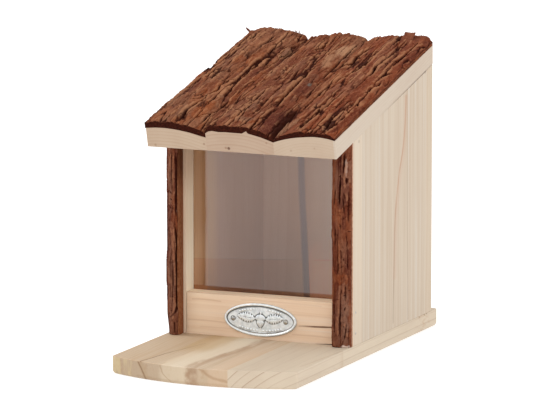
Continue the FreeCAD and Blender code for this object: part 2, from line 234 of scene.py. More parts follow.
class Graph:
    def __init__(self, name):
        self.mat = bpy.data.materials.new(name)
        self.mat.use_nodes = True
        self.nt = self.mat.node_tree
        self.nt.nodes.clear()
        self.out = self.nt.nodes.new("ShaderNodeOutputMaterial")

    def node(self, kind, **props):
        n = self.nt.nodes.new(kind)
        for k, v in props.items():
            setattr(n, k, v)
        return n

    def put(self, socket, value):
        if isinstance(value, bpy.types.NodeSocket):
            self.nt.links.new(value, socket)
        elif value is not None:
            if hasattr(socket.default_value, "__len__") and not hasattr(value, "__len__"):
                value = [value] * len(socket.default_value)
            socket.default_value = value

    def math(self, op, a, b=None, c=None, clamp=False):
        n = self.node("ShaderNodeMath", operation=op, use_clamp=clamp)
        for s, v in zip(n.inputs, (a, b, c)):
            if v is not None:
                self.put(s, v)
        return n.outputs[0]

    def add(self, a, b):
        return self.math("ADD", a, b)

    def sub(self, a, b):
        return self.math("SUBTRACT", a, b)

    def mul(self, a, b):
        return self.math("MULTIPLY", a, b)

    def vec(self, op, a, b=None, scale=None):
        n = self.node("ShaderNodeVectorMath", operation=op)
        self.put(n.inputs[0], a)
        if b is not None:
            self.put(n.inputs[1], b)
        if scale is not None:
            self.put(n.inputs["Scale"], scale)
        return n.outputs["Value"] if op in ("DOT_PRODUCT", "LENGTH", "DISTANCE") else n.outputs["Vector"]

    def xyz(self, x, y, z):
        n = self.node("ShaderNodeCombineXYZ")
        for s, v in zip(n.inputs, (x, y, z)):
            self.put(s, v)
        return n.outputs[0]

    def split(self, v):
        n = self.node("ShaderNodeSeparateXYZ")
        self.put(n.inputs[0], v)
        return n.outputs

    def place(self):
        """The point on the piece in mm, in the object's own frame."""
        n = self.node("ShaderNodeTexCoord")
        return self.vec("SCALE", n.outputs["Object"], scale=1000.0)

    def local(self, p, origin, ax, ay, az):
        q = self.vec("SUBTRACT", p, tuple(origin))
        return self.xyz(self.vec("DOT_PRODUCT", q, tuple(ax)), self.vec("DOT_PRODUCT", q, tuple(ay)),
                        self.vec("DOT_PRODUCT", q, tuple(az)))

    def stretch(self, p, scale, shift=(0, 0, 0)):
        n = self.node("ShaderNodeMapping")
        self.put(n.inputs["Vector"], p)
        n.inputs["Scale"].default_value = scale
        n.inputs["Location"].default_value = shift
        return n.outputs[0]

    def noise(self, p, scale=1.0, detail=3.0, rough=0.5, warp=0.0, lac=2.0):
        n = self.node("ShaderNodeTexNoise")
        self.put(n.inputs["Vector"], p)
        n.inputs["Scale"].default_value = scale
        n.inputs["Detail"].default_value = detail
        n.inputs["Roughness"].default_value = rough
        n.inputs["Lacunarity"].default_value = lac
        n.inputs["Distortion"].default_value = warp
        return n.outputs["Fac"]

    def noise_colour(self, p, scale=1.0, detail=3.0, rough=0.5):
        n = self.node("ShaderNodeTexNoise")
        self.put(n.inputs["Vector"], p)
        n.inputs["Scale"].default_value = scale
        n.inputs["Detail"].default_value = detail
        n.inputs["Roughness"].default_value = rough
        return n.outputs["Color"]

    def voronoi(self, p, scale=1.0, feature="F1", random=1.0, out="Distance"):
        n = self.node("ShaderNodeTexVoronoi", feature=feature)
        self.put(n.inputs["Vector"], p)
        n.inputs["Scale"].default_value = scale
        n.inputs["Randomness"].default_value = random
        return n.outputs[out]

    def ramp(self, fac, stops, how="LINEAR"):
        n = self.node("ShaderNodeValToRGB")
        self.put(n.inputs[0], fac)
        r = n.color_ramp
        r.interpolation = how
        while len(r.elements) > 1:
            r.elements.remove(r.elements[-1])
        r.elements[0].position = stops[0][0]
        for k, (pos, col) in enumerate(stops):
            e = r.elements[0] if k == 0 else r.elements.new(pos)
            e.color = col if hasattr(col, "__len__") else (col, col, col, 1.0)
        return n.outputs[0]

    def range(self, v, a, b, c=0.0, d=1.0, how="SMOOTHSTEP"):
        n = self.node("ShaderNodeMapRange", interpolation_type=how)
        self.put(n.inputs["Value"], v)
        for key, x in (("From Min", a), ("From Max", b), ("To Min", c), ("To Max", d)):
            self.put(n.inputs[key], x)
        return n.outputs[0]

    def mix(self, fac, a, b, blend="MIX"):
        n = self.node("ShaderNodeMix", data_type="RGBA", blend_type=blend)
        n.clamp_factor = True
        self.put(n.inputs[0], fac)
        self.put(n.inputs[6], a)
        self.put(n.inputs[7], b)
        return n.outputs[2]

    def curve(self, v, points):
        """A number through a curve given by points (x, y), both from 0 to 1."""
        n = self.node("ShaderNodeFloatCurve")
        self.put(n.inputs["Value"], v)
        c = n.mapping.curves[0]
        while len(c.points) > 2:
            c.points.remove(c.points[-1])
        c.points[0].location, c.points[1].location = points[0], points[-1]
        for p in points[1:-1]:
            c.points.new(*p)
        n.mapping.update()
        return n.outputs[0]

    def attr(self, name):
        n = self.node("ShaderNodeAttribute", attribute_name=name)
        return n.outputs["Fac"]

    def bump(self, height, strength, distance, normal=None):
        n = self.node("ShaderNodeBump")
        self.put(n.inputs["Height"], height)
        n.inputs["Strength"].default_value = strength
        n.inputs["Distance"].default_value = distance
        if normal is not None:
            self.put(n.inputs["Normal"], normal)
        return n.outputs[0]

    def principled(self, colour, rough, normal=None, **sockets):
        n = self.node("ShaderNodeBsdfPrincipled")
        self.put(n.inputs["Base Color"], colour)
        self.put(n.inputs["Roughness"], rough)
        if normal is not None:
            self.put(n.inputs["Normal"], normal)
        for key, v in sockets.items():
            self.put(n.inputs[key.replace("_", " ")], v)
        self.nt.links.new(n.outputs[0], self.out.inputs["Surface"])
        return n


# ------------------------------------------------------------------ pine
def near_line(g, u, v, points, width, soft):
    """1 on a line u = f(v) through given points, fading out over soft. points are (v, u) in mm, v rising."""
    v0, v1 = points[0][0], points[-1][0]
    us = [p[1] for p in points]
    u0, u1 = min(us) - 1.0, max(us) + 1.0
    at = g.range(v, v0, v1, 0.0, 1.0, "LINEAR")
    f = g.curve(at, [((pv - v0) / (v1 - v0), (pu - u0) / (u1 - u0)) for pv, pu in points])
    target = g.add(g.mul(f, u1 - u0), u0)
    d = g.math("ABSOLUTE", g.sub(u, target))
    inside = g.mul(g.range(v, v0 - 0.5, v0 + 1.5), g.range(v, v1 + 0.5, v1 - 1.5))
    return g.mul(g.range(d, width / 2, width / 2 + soft, 1.0, 0.0), inside)


def pine(name, axes, origin, pith, spacing, light, dark, contrast=0.5, seed=0, tone=0.5, warm=None, marks=None,
         ring_noise=0.55, gain=(0.72, 0.72, 0.78), painted_light_area=None, painted_light_gain=(1, 1, 1), thin=False, stripes=0.0,
         fade=None):
    """Sawn pine. axes: (across, through, grain). pith: centre of the rings in (across, through). A mask can pick out a
    part of the board, such as an inner face or a side face, whose colour is then multiplied by a gain: painted light on
    faces that would otherwise render too dark."""
    def dull(c):
        return tuple(v * k for v, k in zip(c, gain)) + (1.0,)

    light, dark, pale = dull(light), dull(dark), dull((0.83, 0.76, 0.66, 1))
    warm = dull(warm) if warm is not None else None
    g = Graph(name)
    p = g.place()
    q = g.local(p, origin, *axes)
    wander = g.noise(g.stretch(q, (0.011, 0.011, 0.0032), (seed * 3.1, seed * 1.7, 0)), 1.0, 2.0)
    wander2 = g.noise(g.stretch(q, (0.06, 0.06, 0.009), (seed * 1.3, 4.1, seed)), 1.0, 2.0)
    c = g.split(q)
    dx = g.sub(c[0], pith[0])
    dy = g.sub(c[1], pith[1])
    r = g.math("SQRT", g.add(g.mul(dx, dx), g.mul(dy, dy)))
    r = g.add(r, g.add(g.mul(g.sub(wander, 0.5), 34.0 * ring_noise), g.mul(g.sub(wander2, 0.5), 5.0 * ring_noise)))
    turns = g.math("DIVIDE", r, spacing)
    ring = g.math("FRACT", turns)
    if thin:
        late = g.ramp(ring, [(0.0, 0.0), (0.76, 0.05), (0.88, 0.26), (0.945, 1.0), (0.98, 0.85), (1.0, 0.0)])
    else:
        late = g.ramp(ring, [(0.0, 0.0), (0.45, 0.10), (0.80, 0.62), (0.93, 1.0), (0.985, 0.85), (1.0, 0.0)])
    year = g.noise(g.xyz(g.math("FLOOR", turns), seed * 1.9, 0.5), 0.73, 1.0)
    late = g.mul(late, g.range(year, 0.3, 0.7, 0.35, 1.0))
    if fade is not None:
        late = g.mul(late, fade(g, p))
    fibre = g.noise(g.stretch(q, (2.6, 2.6, 0.045), (seed, 0, 0)), 1.0, 4.0, 0.62)
    hair = g.noise(g.stretch(q, (7.5, 7.5, 0.16), (0, seed, 0)), 1.0, 2.0, 0.6)
    broad = g.noise(g.stretch(q, (0.030, 0.030, 0.0065), (seed, seed * 2.2, 0)), 1.0, 3.0)
    stripe = g.noise(g.stretch(q, (0.16, 0.16, 0.0035), (0, seed * 1.1, seed)), 1.0, 3.0, 0.55)
    col = g.mix(g.mul(late, contrast), light, dark)
    col = g.mix(g.mul(g.range(broad, 0.35, 0.72), 0.30 * tone), col, dark)
    if warm is not None:
        col = g.mix(g.mul(g.range(stripe, 0.50, 0.72), 0.55), col, warm)
    if stripes:
        bands = g.noise(g.stretch(q, (0.22, 0.05, 0.0024), (seed * 0.7, 2.2, 0)), 1.0, 3.0, 0.6)
        col = g.mix(g.mul(g.range(bands, 0.48, 0.62), stripes), col, dark)
        col = g.mix(g.mul(g.range(bands, 0.46, 0.34), stripes), col, pale)
    col = g.mix(g.mul(g.range(fibre, 0.42, 0.85), 0.20), col, dark)
    col = g.mix(g.mul(g.range(fibre, 0.50, 0.18), 0.16), col, pale)
    col = g.mix(g.mul(g.range(hair, 0.60, 0.80), 0.10), col, dark)
    height = g.add(g.mul(fibre, 0.6), g.add(g.mul(hair, 0.35), g.mul(late, 0.25)))
    if marks is not None:
        col, height = marks(g, p, q, col, height)
    # painted light: the masked part of the board has its colour multiplied by the gain
    if painted_light_area is not None:
        col = g.mix(painted_light_area(g, p), col, g.mix(1.0, col, tuple(painted_light_gain) + (1.0,), "MULTIPLY"))
    rough = g.range(fibre, 0.25, 0.8, 0.58, 0.74, "LINEAR")
    n = g.bump(height, 0.35, 0.00012)
    g.principled(col, rough, n, Specular_IOR_Level=0.32)
    return g.mat


X, Y, Z = (1, 0, 0), (0, 1, 0), (0, 0, 1)
SLOPED = (ACROSS, UP, ALONG)

# painted light: colour gain for the inner faces of the side panels and the back, which the closed box would otherwise
# leave too dark
INNER_PAINTED_LIGHT = (1.40, 1.33, 1.36)


def inner_face(sign):
    """1 on the inner face of a side panel, behind its front edge and under its top edge."""
    def painted_light_area(g, p):
        x, y, z = g.split(p)
        gap = g.sub(g.add(g.mul(g.sub(y, -30.0), TN), 199.4), z)
        return g.mul(g.mul(g.range(g.mul(x, sign), 80, 76), g.range(gap, 0.2, 1.2)), g.range(y, -29.8, -29.2))
    return painted_light_area


def inside_of(axis, a, b):
    """1 where the coordinate has passed from a to b."""
    return lambda g, p: g.range(g.split(p)[axis], a, b)


LIGHT = srgb(232, 212, 184)
DARK = srgb(206, 172, 132)
WARM = srgb(222, 186, 150)


def spot(g, p, centre, radius, soft):
    """1 within radius of a point, in mm."""
    d = g.vec("DISTANCE", p, tuple(centre))
    return g.range(d, radius, radius + soft, 1.0, 0.0)


def marks_panel_right(g, p, q, col, height):
    x, y, z = g.split(p)
    uneven = g.noise(g.stretch(p, (0.3, 0.3, 0.035)), 1.0, 3.0)
    line = near_line(g, y, z, [(20, 65.0), (35.5, 65.2), (70, 66.5), (115, 68.9), (149, 76.0), (194, 90.5), (226, 93.4)], 0.7, 1.9)
    line = g.mul(line, g.range(uneven, 0.25, 0.6, 0.45, 1.0))
    col = g.mix(g.mul(line, g.range(z, 40, 130, 0.46, 0.62)), col, g.mix(g.range(z, 80, 150), srgb(142, 116, 94), srgb(168, 122, 92)))
    blush = near_line(g, y, z, [(60, 67.5), (115, 70.5), (149, 78.5), (194, 92.0), (226, 94.4)], 2.0, 6.0)
    col = g.mix(g.mul(blush, 0.22), col, srgb(188, 146, 122))
    second = near_line(g, y, z, [(17, 100.3), (36, 99.9), (110, 97.8), (193, 96.4), (232, 95.6)], 0.5, 1.6)
    col = g.mix(g.mul(second, 0.42), col, srgb(154, 124, 98))
    edge = g.range(y, -9.0, -7.4, 1.0, 0.0)
    col = g.mix(g.mul(edge, 0.22), col, srgb(226, 208, 184))
    front_line = near_line(g, y, z, [(17, -8.2), (120, -8.0), (215, -8.4)], 0.3, 1.0)
    col = g.mix(g.mul(front_line, 0.16), col, srgb(170, 140, 112))
    for where, size, power in (((89, -15.8, 198.4), 1.0, 0.35), ((89, -22.8, 26.6), 0.5, 0.6), ((89, 139.0, 240.0), 0.6, 0.5)):
        col = g.mix(g.mul(spot(g, p, where, size, 0.9), power), col, srgb(112, 84, 62))
    # a darker band along the top edge of the outer face, under the lid, fading in from y 20 to y 80
    gap = g.sub(g.add(g.mul(g.sub(y, -30.0), TN), 199.4), z)
    top_edge_band = g.mul(g.mul(g.range(gap, 1.0, 0.2), g.range(y, 20, 80)), g.range(x, 87.6, 88.6))
    col = g.mix(g.mul(top_edge_band, 0.62), col, srgb(96, 74, 58))
    return col, height


def marks_base_left(g, p, q, col, height):
    x, y, z = g.split(p)
    rag = g.noise(g.stretch(p, (0.14, 0.030, 0.14)), 1.0, 4.0, 0.6)
    wob = g.mul(g.sub(rag, 0.5), 9.0)
    xw = g.add(x, wob)
    top = g.range(z, 15.0, 15.6)
    front = g.mul(g.range(z, 15.8, 15.2), g.range(y, -120, -150))
    # darker wood left of a check in the board
    left = g.range(g.sub(xw, g.mul(g.add(y, 170), 0.16)), -54, -60)
    col = g.mix(g.mul(left, 0.26), col, srgb(176, 146, 112))
    # pale sapwood band
    pale = g.mul(g.range(xw, -37, -31), g.range(g.sub(xw, g.mul(g.add(y, 170), 0.10)), -3, -12))
    col = g.mix(g.mul(pale, 0.62), col, srgb(218, 200, 172))
    # yellow brown zone behind it
    tan = g.mul(g.mul(g.range(xw, -52, -44), g.range(xw, -12, -26)), g.mul(g.range(y, -122, -84), top))
    col = g.mix(g.mul(tan, 0.60), col, srgb(184, 152, 108))
    # brown streak that runs back from the front edge
    streak = near_line(g, xw, y, [(-176, -1.0), (-150, -3.6), (-128, -2.2), (-108, 0.4), (-84, 3.4), (-56, 5.2), (-32, 6.2), (172, 14)], 5.2, 5.0)
    col = g.mix(g.mul(g.mul(streak, g.range(rag, 0.32, 0.60, 0.35, 1.0)), g.range(y, 60, -60, 0.25, 0.72)), col, srgb(166, 132, 102))
    rosy = g.mul(g.range(xw, 10, 17), g.range(y, -40, -120, 0.2, 1.0))
    col = g.mix(g.mul(rosy, 0.42), col, srgb(212, 182, 152))
    # the check itself, on top and on the front
    wave = g.add(x, g.mul(g.sub(g.noise(p, 0.22, 2.0), 0.5), 1.4))
    check = near_line(g, wave, y, [(-176, -57.0), (-163, -55.3), (-149.7, -52.9), (-126.5, -50.2), (-93.6, -43.0), (-66, -37.0)], 0.5, 1.0)
    check = g.mul(g.mul(check, top), g.range(y, -75, -140, 0.25, 1.0))
    face = near_line(g, wave, z, [(-0.5, -49.2), (7.7, -53.3), (15.0, -57.7), (16.4, -58.6)], 0.6, 1.2)
    check = g.math("MAXIMUM", check, g.mul(face, front))
    col = g.mix(g.mul(check, 0.72), col, srgb(116, 84, 56))
    halo = g.mul(near_line(g, wave, z, [(-0.5, -48.0), (7.7, -51.6), (15.0, -56.0), (16.4, -57.0)], 2.5, 4.0), front)
    col = g.mix(g.mul(halo, 0.35), col, srgb(176, 142, 100))
    fine = g.mul(near_line(g, wave, z, [(-0.5, -21.4), (1.0, -22.5), (8.0, -31.2), (14.3, -34.0), (16.4, -35.2)], 0.3, 1.1), front)
    col = g.mix(g.mul(fine, 0.50), col, srgb(168, 136, 104))
    curl = g.mul(near_line(g, g.add(z, g.mul(g.sub(rag, 0.5), 3.0)), x, [(2.0, 17.0), (8.0, 14.0), (15.0, 9.2), (22.0, 7.2), (31.5, 5.4)], 0.8, 1.8), front)
    col = g.mix(g.mul(curl, 0.55), col, srgb(170, 136, 102))
    low = g.mul(near_line(g, z, x, [(-60, 3.0), (-20, 2.0), (10, 2.6), (31.5, 1.6)], 0.6, 1.6), front)
    col = g.mix(g.mul(low, 0.26), col, srgb(172, 140, 106))
    # painted shade: the front face darker towards the left
    shade = g.mul(front, g.range(x, 31, -62, 0.30, 1.0))
    col = g.mix(shade, col, g.mix(1.0, col, (0.775, 0.765, 0.77, 1), "MULTIPLY"))
    middle = g.mul(top, g.mul(g.range(x, -40, -20), g.range(x, 31, 20)))
    col = g.mix(middle, col, g.mix(1.0, col, (1.05, 1.09, 1.15, 1), "MULTIPLY"))
    blot = g.mul(spot(g, p, (-2.0, -170.5, 13.5), 2.2, 3.2), front)
    col = g.mix(g.mul(blot, 0.5), col, srgb(150, 118, 88))
    upright = g.mul(g.mul(g.noise(g.stretch(p, (0.22, 0.02, 0.05)), 1.0, 2.0, 0.5), front), g.range(x, -58, -66))
    col = g.mix(g.mul(g.range(upright, 0.40, 0.60), 0.45), col, srgb(200, 182, 136))
    return col, g.sub(height, g.mul(check, 1.5))


def marks_base_right(g, p, q, col, height):
    x, y, z = g.split(p)
    shade = near_line(g, x, y, [(-130, 82.0), (-121, 83.0), (-56, 88.0), (-50, 88.6)], 0.4, 1.4)
    col = g.mix(g.mul(shade, 0.30), col, srgb(172, 142, 112))
    for where, size, power in (((89, 145.9, 16.2), 0.8, 0.65), ((89, 140.3, 15.4), 0.6, 0.5), ((89, 127.7, 15.6), 0.7, 0.55)):
        col = g.mix(g.mul(spot(g, p, where, size, 1.2), power), col, srgb(120, 90, 62))
    burr = g.noise(g.stretch(p, (0.3, 0.12, 0.4)), 1.0, 4.0, 0.65)
    rear = g.mul(g.mul(g.range(y, 112, 130), g.range(y, 158, 148)), g.range(burr, 0.45, 0.68))
    col = g.mix(g.mul(rear, 0.42), col, srgb(176, 140, 104))
    return col, height


def marks_front_board(g, p, q, col, height):
    x, y, z = g.split(p)
    wob = g.add(z, g.mul(g.sub(g.noise(g.stretch(p, (0.10, 0.1, 0.6)), 1.0, 3.0), 0.5), 0.9))
    split = near_line(g, wob, x, [(36.5, 30.7), (40.8, 30.95), (54.0, 31.3), (68.5, 32.1), (74.0, 32.4)], 0.6, 0.8)
    split = g.mul(split, g.range(x, 37, 54, 0.35, 1.0))
    col = g.mix(g.mul(split, 0.92), col, srgb(96, 56, 32))
    # painted light: the left end brightened where the left bark strip shades it
    lit = g.range(x, -36, -68)
    col = g.mix(lit, col, g.mix(1.0, col, (1.10, 1.13, 1.12, 1), "MULTIPLY"))
    for z0, x0, x1, power in ((47.6, -68, -38, 0.28), (28.4, -72, -30, 0.22), (23.0, -60, 10, 0.14), (40.5, 20, 73, 0.18), (50.5, -20, 60, 0.16),
                              (22.4, 30, 73, 0.24)):
        line = near_line(g, wob, x, [(x0, z0), ((x0 + x1) / 2, z0 + 0.4), (x1, z0 - 0.3)], 0.3, 0.9)
        col = g.mix(g.mul(line, power), col, srgb(172, 122, 80))
    high = g.sub(z, g.mul(g.add(x, 73), 0.9 / 146.0))
    # painted highlight along the top edge
    top = g.range(high, 52.8, 53.4)
    col = g.mix(g.mul(top, 0.25), col, srgb(232, 208, 178))
    # painted light: the top face brightened, which the lid shades
    flat = g.mul(g.range(high, 53.60, 53.72), g.range(y, -30.0, -29.4))
    col = g.mix(flat, col, g.mix(1.0, col, (1.36, 1.40, 1.42, 1), "MULTIPLY"))
    arris = g.mul(g.range(high, 53.0, 53.5), g.mul(g.range(y, -29.0, -29.6), g.range(wob, 0, 1, 0.5, 1.0)))
    col = g.mix(g.mul(arris, 0.30), col, srgb(150, 116, 84))
    # painted shade: the back edge of the top, against the pane, painted near black
    col = g.mix(g.mul(g.mul(g.range(high, 52.5, 53.2), g.range(y, -15.3, -14.6)), 0.9), col, srgb(52, 28, 16))
    return col, g.sub(height, g.mul(split, 1.6))


def marks_panel_left(g, p, q, col, height):
    x, y, z = g.split(p)
    face = inner_face(-1)(g, p)
    # painted light on the inner face in front of the pane
    before = g.mul(face, g.range(y, -13.2, -14.4))
    col = g.mix(before, col, g.mix(1.0, col, (1.17, 1.24, 1.19, 1), "MULTIPLY"))
    # painted light on the front edge, which the left bark strip shades
    edge = g.mul(g.range(y, -29.2, -29.8), g.range(x, -78, -76))
    col = g.mix(edge, col, g.mix(1.0, col, (1.52, 1.47, 1.44, 1), "MULTIPLY"))
    front = g.math("MAXIMUM", before, edge)
    # on both, painted shade at the top under the lid and painted light lower down
    col = g.mix(g.mul(front, g.range(z, 132, 172)), col, g.mix(1.0, col, (0.80, 0.71, 0.67, 1), "MULTIPLY"))
    col = g.mix(g.mul(front, g.range(z, 122, 78)), col, g.mix(1.0, col, (1.11, 1.17, 1.21, 1), "MULTIPLY"))
    # painted light on the inner face seen through the pane: warmer, and brighter low down
    seen_through_pane_light = g.mul(face, g.mul(g.range(y, -13.6, -13.0), g.range(y, 18.5, 15.5)))
    col = g.mix(seen_through_pane_light, col, g.mix(1.0, col, (1.20, 1.08, 0.78, 1), "MULTIPLY"))
    col = g.mix(g.mul(seen_through_pane_light, g.range(z, 122, 74)), col, g.mix(1.0, col, (1.20, 1.32, 1.46, 1), "MULTIPLY"))
    # painted light further back on the inner face
    pale = g.mul(face, g.mul(g.range(y, 15.5, 18.5), g.range(y, 48.0, 24.0)))
    col = g.mix(pale, col, g.mix(1.0, col, (1.12, 1.14, 0.98, 1), "MULTIPLY"))
    behind = g.mul(face, g.range(y, 15.5, 18.5))
    col = g.mix(behind, col, g.mix(1.0, col, (1.13, 1.15, 1.19, 1), "MULTIPLY"))
    return col, height


def marks_back(g, p, q, col, height):
    x, y, z = g.split(p)
    inner = g.mul(g.range(y, 149, 145), g.range(g.math("ABSOLUTE", x), 80, 76))
    # painted light: the inner face of the back brightened, most from x -18 on and low down there, and a little all over
    right = g.mul(inner, g.range(x, -36, -18))
    col = g.mix(right, col, g.mix(1.0, col, (1.20, 1.32, 1.42, 1), "MULTIPLY"))
    far = g.mul(inner, g.range(x, -26, 14))
    col = g.mix(far, col, g.mix(1.0, col, (1.07, 1.17, 1.24, 1), "MULTIPLY"))
    foot = g.mul(right, g.range(z, 80, 44))
    col = g.mix(foot, col, g.mix(1.0, col, (1.40, 1.16, 1.08, 1), "MULTIPLY"))
    col = g.mix(inner, col, g.mix(1.0, col, (1.06, 1.10, 1.13, 1), "MULTIPLY"))
    # a bluish grey band running up the inner face, a little fainter high up
    bluish_band = near_line(g, x, z, [(16, -28.6), (33, -29.4), (56, -30.6), (85, -32.0), (113, -33.6), (145, -34.8), (246, -37.4)], 4.0, 2.2)
    col = g.mix(g.mul(g.mul(bluish_band, inner), g.range(z, 60, 120, 0.80, 0.70)), col, srgb(122, 120, 136))
    return col, height


def marks_lid(points):
    """Small knots and flecks on the front end grain."""
    def marks(g, p, q, col, height):
        s = g.split(q)[2]
        face = g.range(s, 1.5, 0.4)
        for x, z, size, power, tone in points:
            t = z - EAVE[2]
            at = (x, EAVE[1] - t * TN, z)
            col = g.mix(g.mul(spot(g, p, at, size, 0.9), power), col, srgb(*tone))
        return col, height
    return marks


MATS = {}
MATS["base_left"] = pine("pine_base_left", (X, Z, Y), (0, 0, 0), (-150, -6), 3.3, srgb(226, 200, 164), srgb(190, 150, 104),
                         contrast=0.34, seed=1, tone=0.8, warm=srgb(206, 166, 122), marks=marks_base_left, gain=(0.76, 0.775, 0.84),
                         fade=lambda g, p: g.range(g.split(p)[2], 15.3, 15.8, 0.35, 1.0))
MATS["base_right"] = pine("pine_base_right", (X, Z, Y), (0, 0, 0), (130, -92), 6.7, srgb(236, 214, 184), srgb(178, 140, 110),
                          contrast=0.85, seed=2, tone=0.5, thin=True, ring_noise=0.12, marks=marks_base_right, gain=(0.73, 0.76, 0.81),
                          fade=lambda g, p: g.range(g.split(p)[2], 15.9, 15.3, 0.22, 1.0))
MATS["panel_right"] = pine("pine_panel_right", (Y, X, Z), (0, 89, 0), (150, 60), 3.6, LIGHT, srgb(210, 180, 148), contrast=0.15,
                           seed=3, tone=0.6, marks=marks_panel_right, stripes=0.33, gain=(0.69, 0.705, 0.753), painted_light_area=inner_face(1), painted_light_gain=INNER_PAINTED_LIGHT)
MATS["panel_left"] = pine("pine_panel_left", (Y, X, Z), (0, -89, 0), (40, -120), 3.4, LIGHT, DARK, contrast=0.35, seed=4, tone=0.7, marks=marks_panel_left,
                          gain=(0.69, 0.705, 0.753), painted_light_area=inner_face(-1), painted_light_gain=INNER_PAINTED_LIGHT)
MATS["back"] = pine("pine_back", (X, Y, Z), (0, 150, 0), (-20, 70), 4.0, LIGHT, DARK, contrast=0.32, seed=5, tone=0.6, gain=(0.69, 0.69, 0.72), marks=marks_back,
                    painted_light_area=lambda g, p: g.mul(g.range(g.split(p)[1], 150, 146), g.range(g.math("ABSOLUTE", g.split(p)[0]), 80, 76)), painted_light_gain=INNER_PAINTED_LIGHT)
MATS["front_board"] = pine("pine_front_board", (Z, Y, X), (0, -30, 35), (-48, 26), 2.9, srgb(240, 206, 168), srgb(218, 172, 126),
                           contrast=0.28, seed=6, tone=0.6, marks=marks_front_board, stripes=0.20, gain=(0.935, 1.0, 1.15))
FLECKS = {
    "left": [(-84.1, 192.4, 0.7, 0.45, (140, 104, 76)), (-36.3, 196.2, 0.5, 0.55, (120, 80, 56))],
    "middle": [(-12.6, 193.6, 0.9, 0.85, (92, 58, 38)), (-15.4, 193.9, 0.6, 0.55, (130, 92, 66)), (8.6, 212.0, 0.6, 0.6, (90, 56, 38)),
               (24.5, 201.0, 0.5, 0.45, (132, 92, 66))],
    "right": [(47.5, 195.5, 0.5, 0.35, (140, 104, 80)), (70.2, 199.0, 0.4, 0.3, (140, 104, 80))],
}
# painted light: on the right slab the side face, past x 88.4, has its colour multiplied by (1.07, 1.16, 1.25)
for i, (n, px, pr, sp) in enumerate((("left", -75, -108, 3.1), ("middle", -10, -105, 3.3), ("right", 70, -64, 2.6))):
    MATS["lid_" + n] = pine("pine_lid_" + n, SLOPED, EAVE, (px, pr), sp, srgb(228, 204, 172), srgb(190, 150, 114),
                            contrast=0.42, seed=7 + i, tone=0.6, ring_noise=0.14, thin=n == "right", marks=marks_lid(FLECKS[n]),
                            gain={"left": (0.643, 0.622, 0.655), "middle": (0.615, 0.575, 0.61), "right": (0.66, 0.65, 0.70)}[n],
                            painted_light_area=inside_of(0, 88.4, 89.0) if n == "right" else None, painted_light_gain=(1.07, 1.16, 1.25))


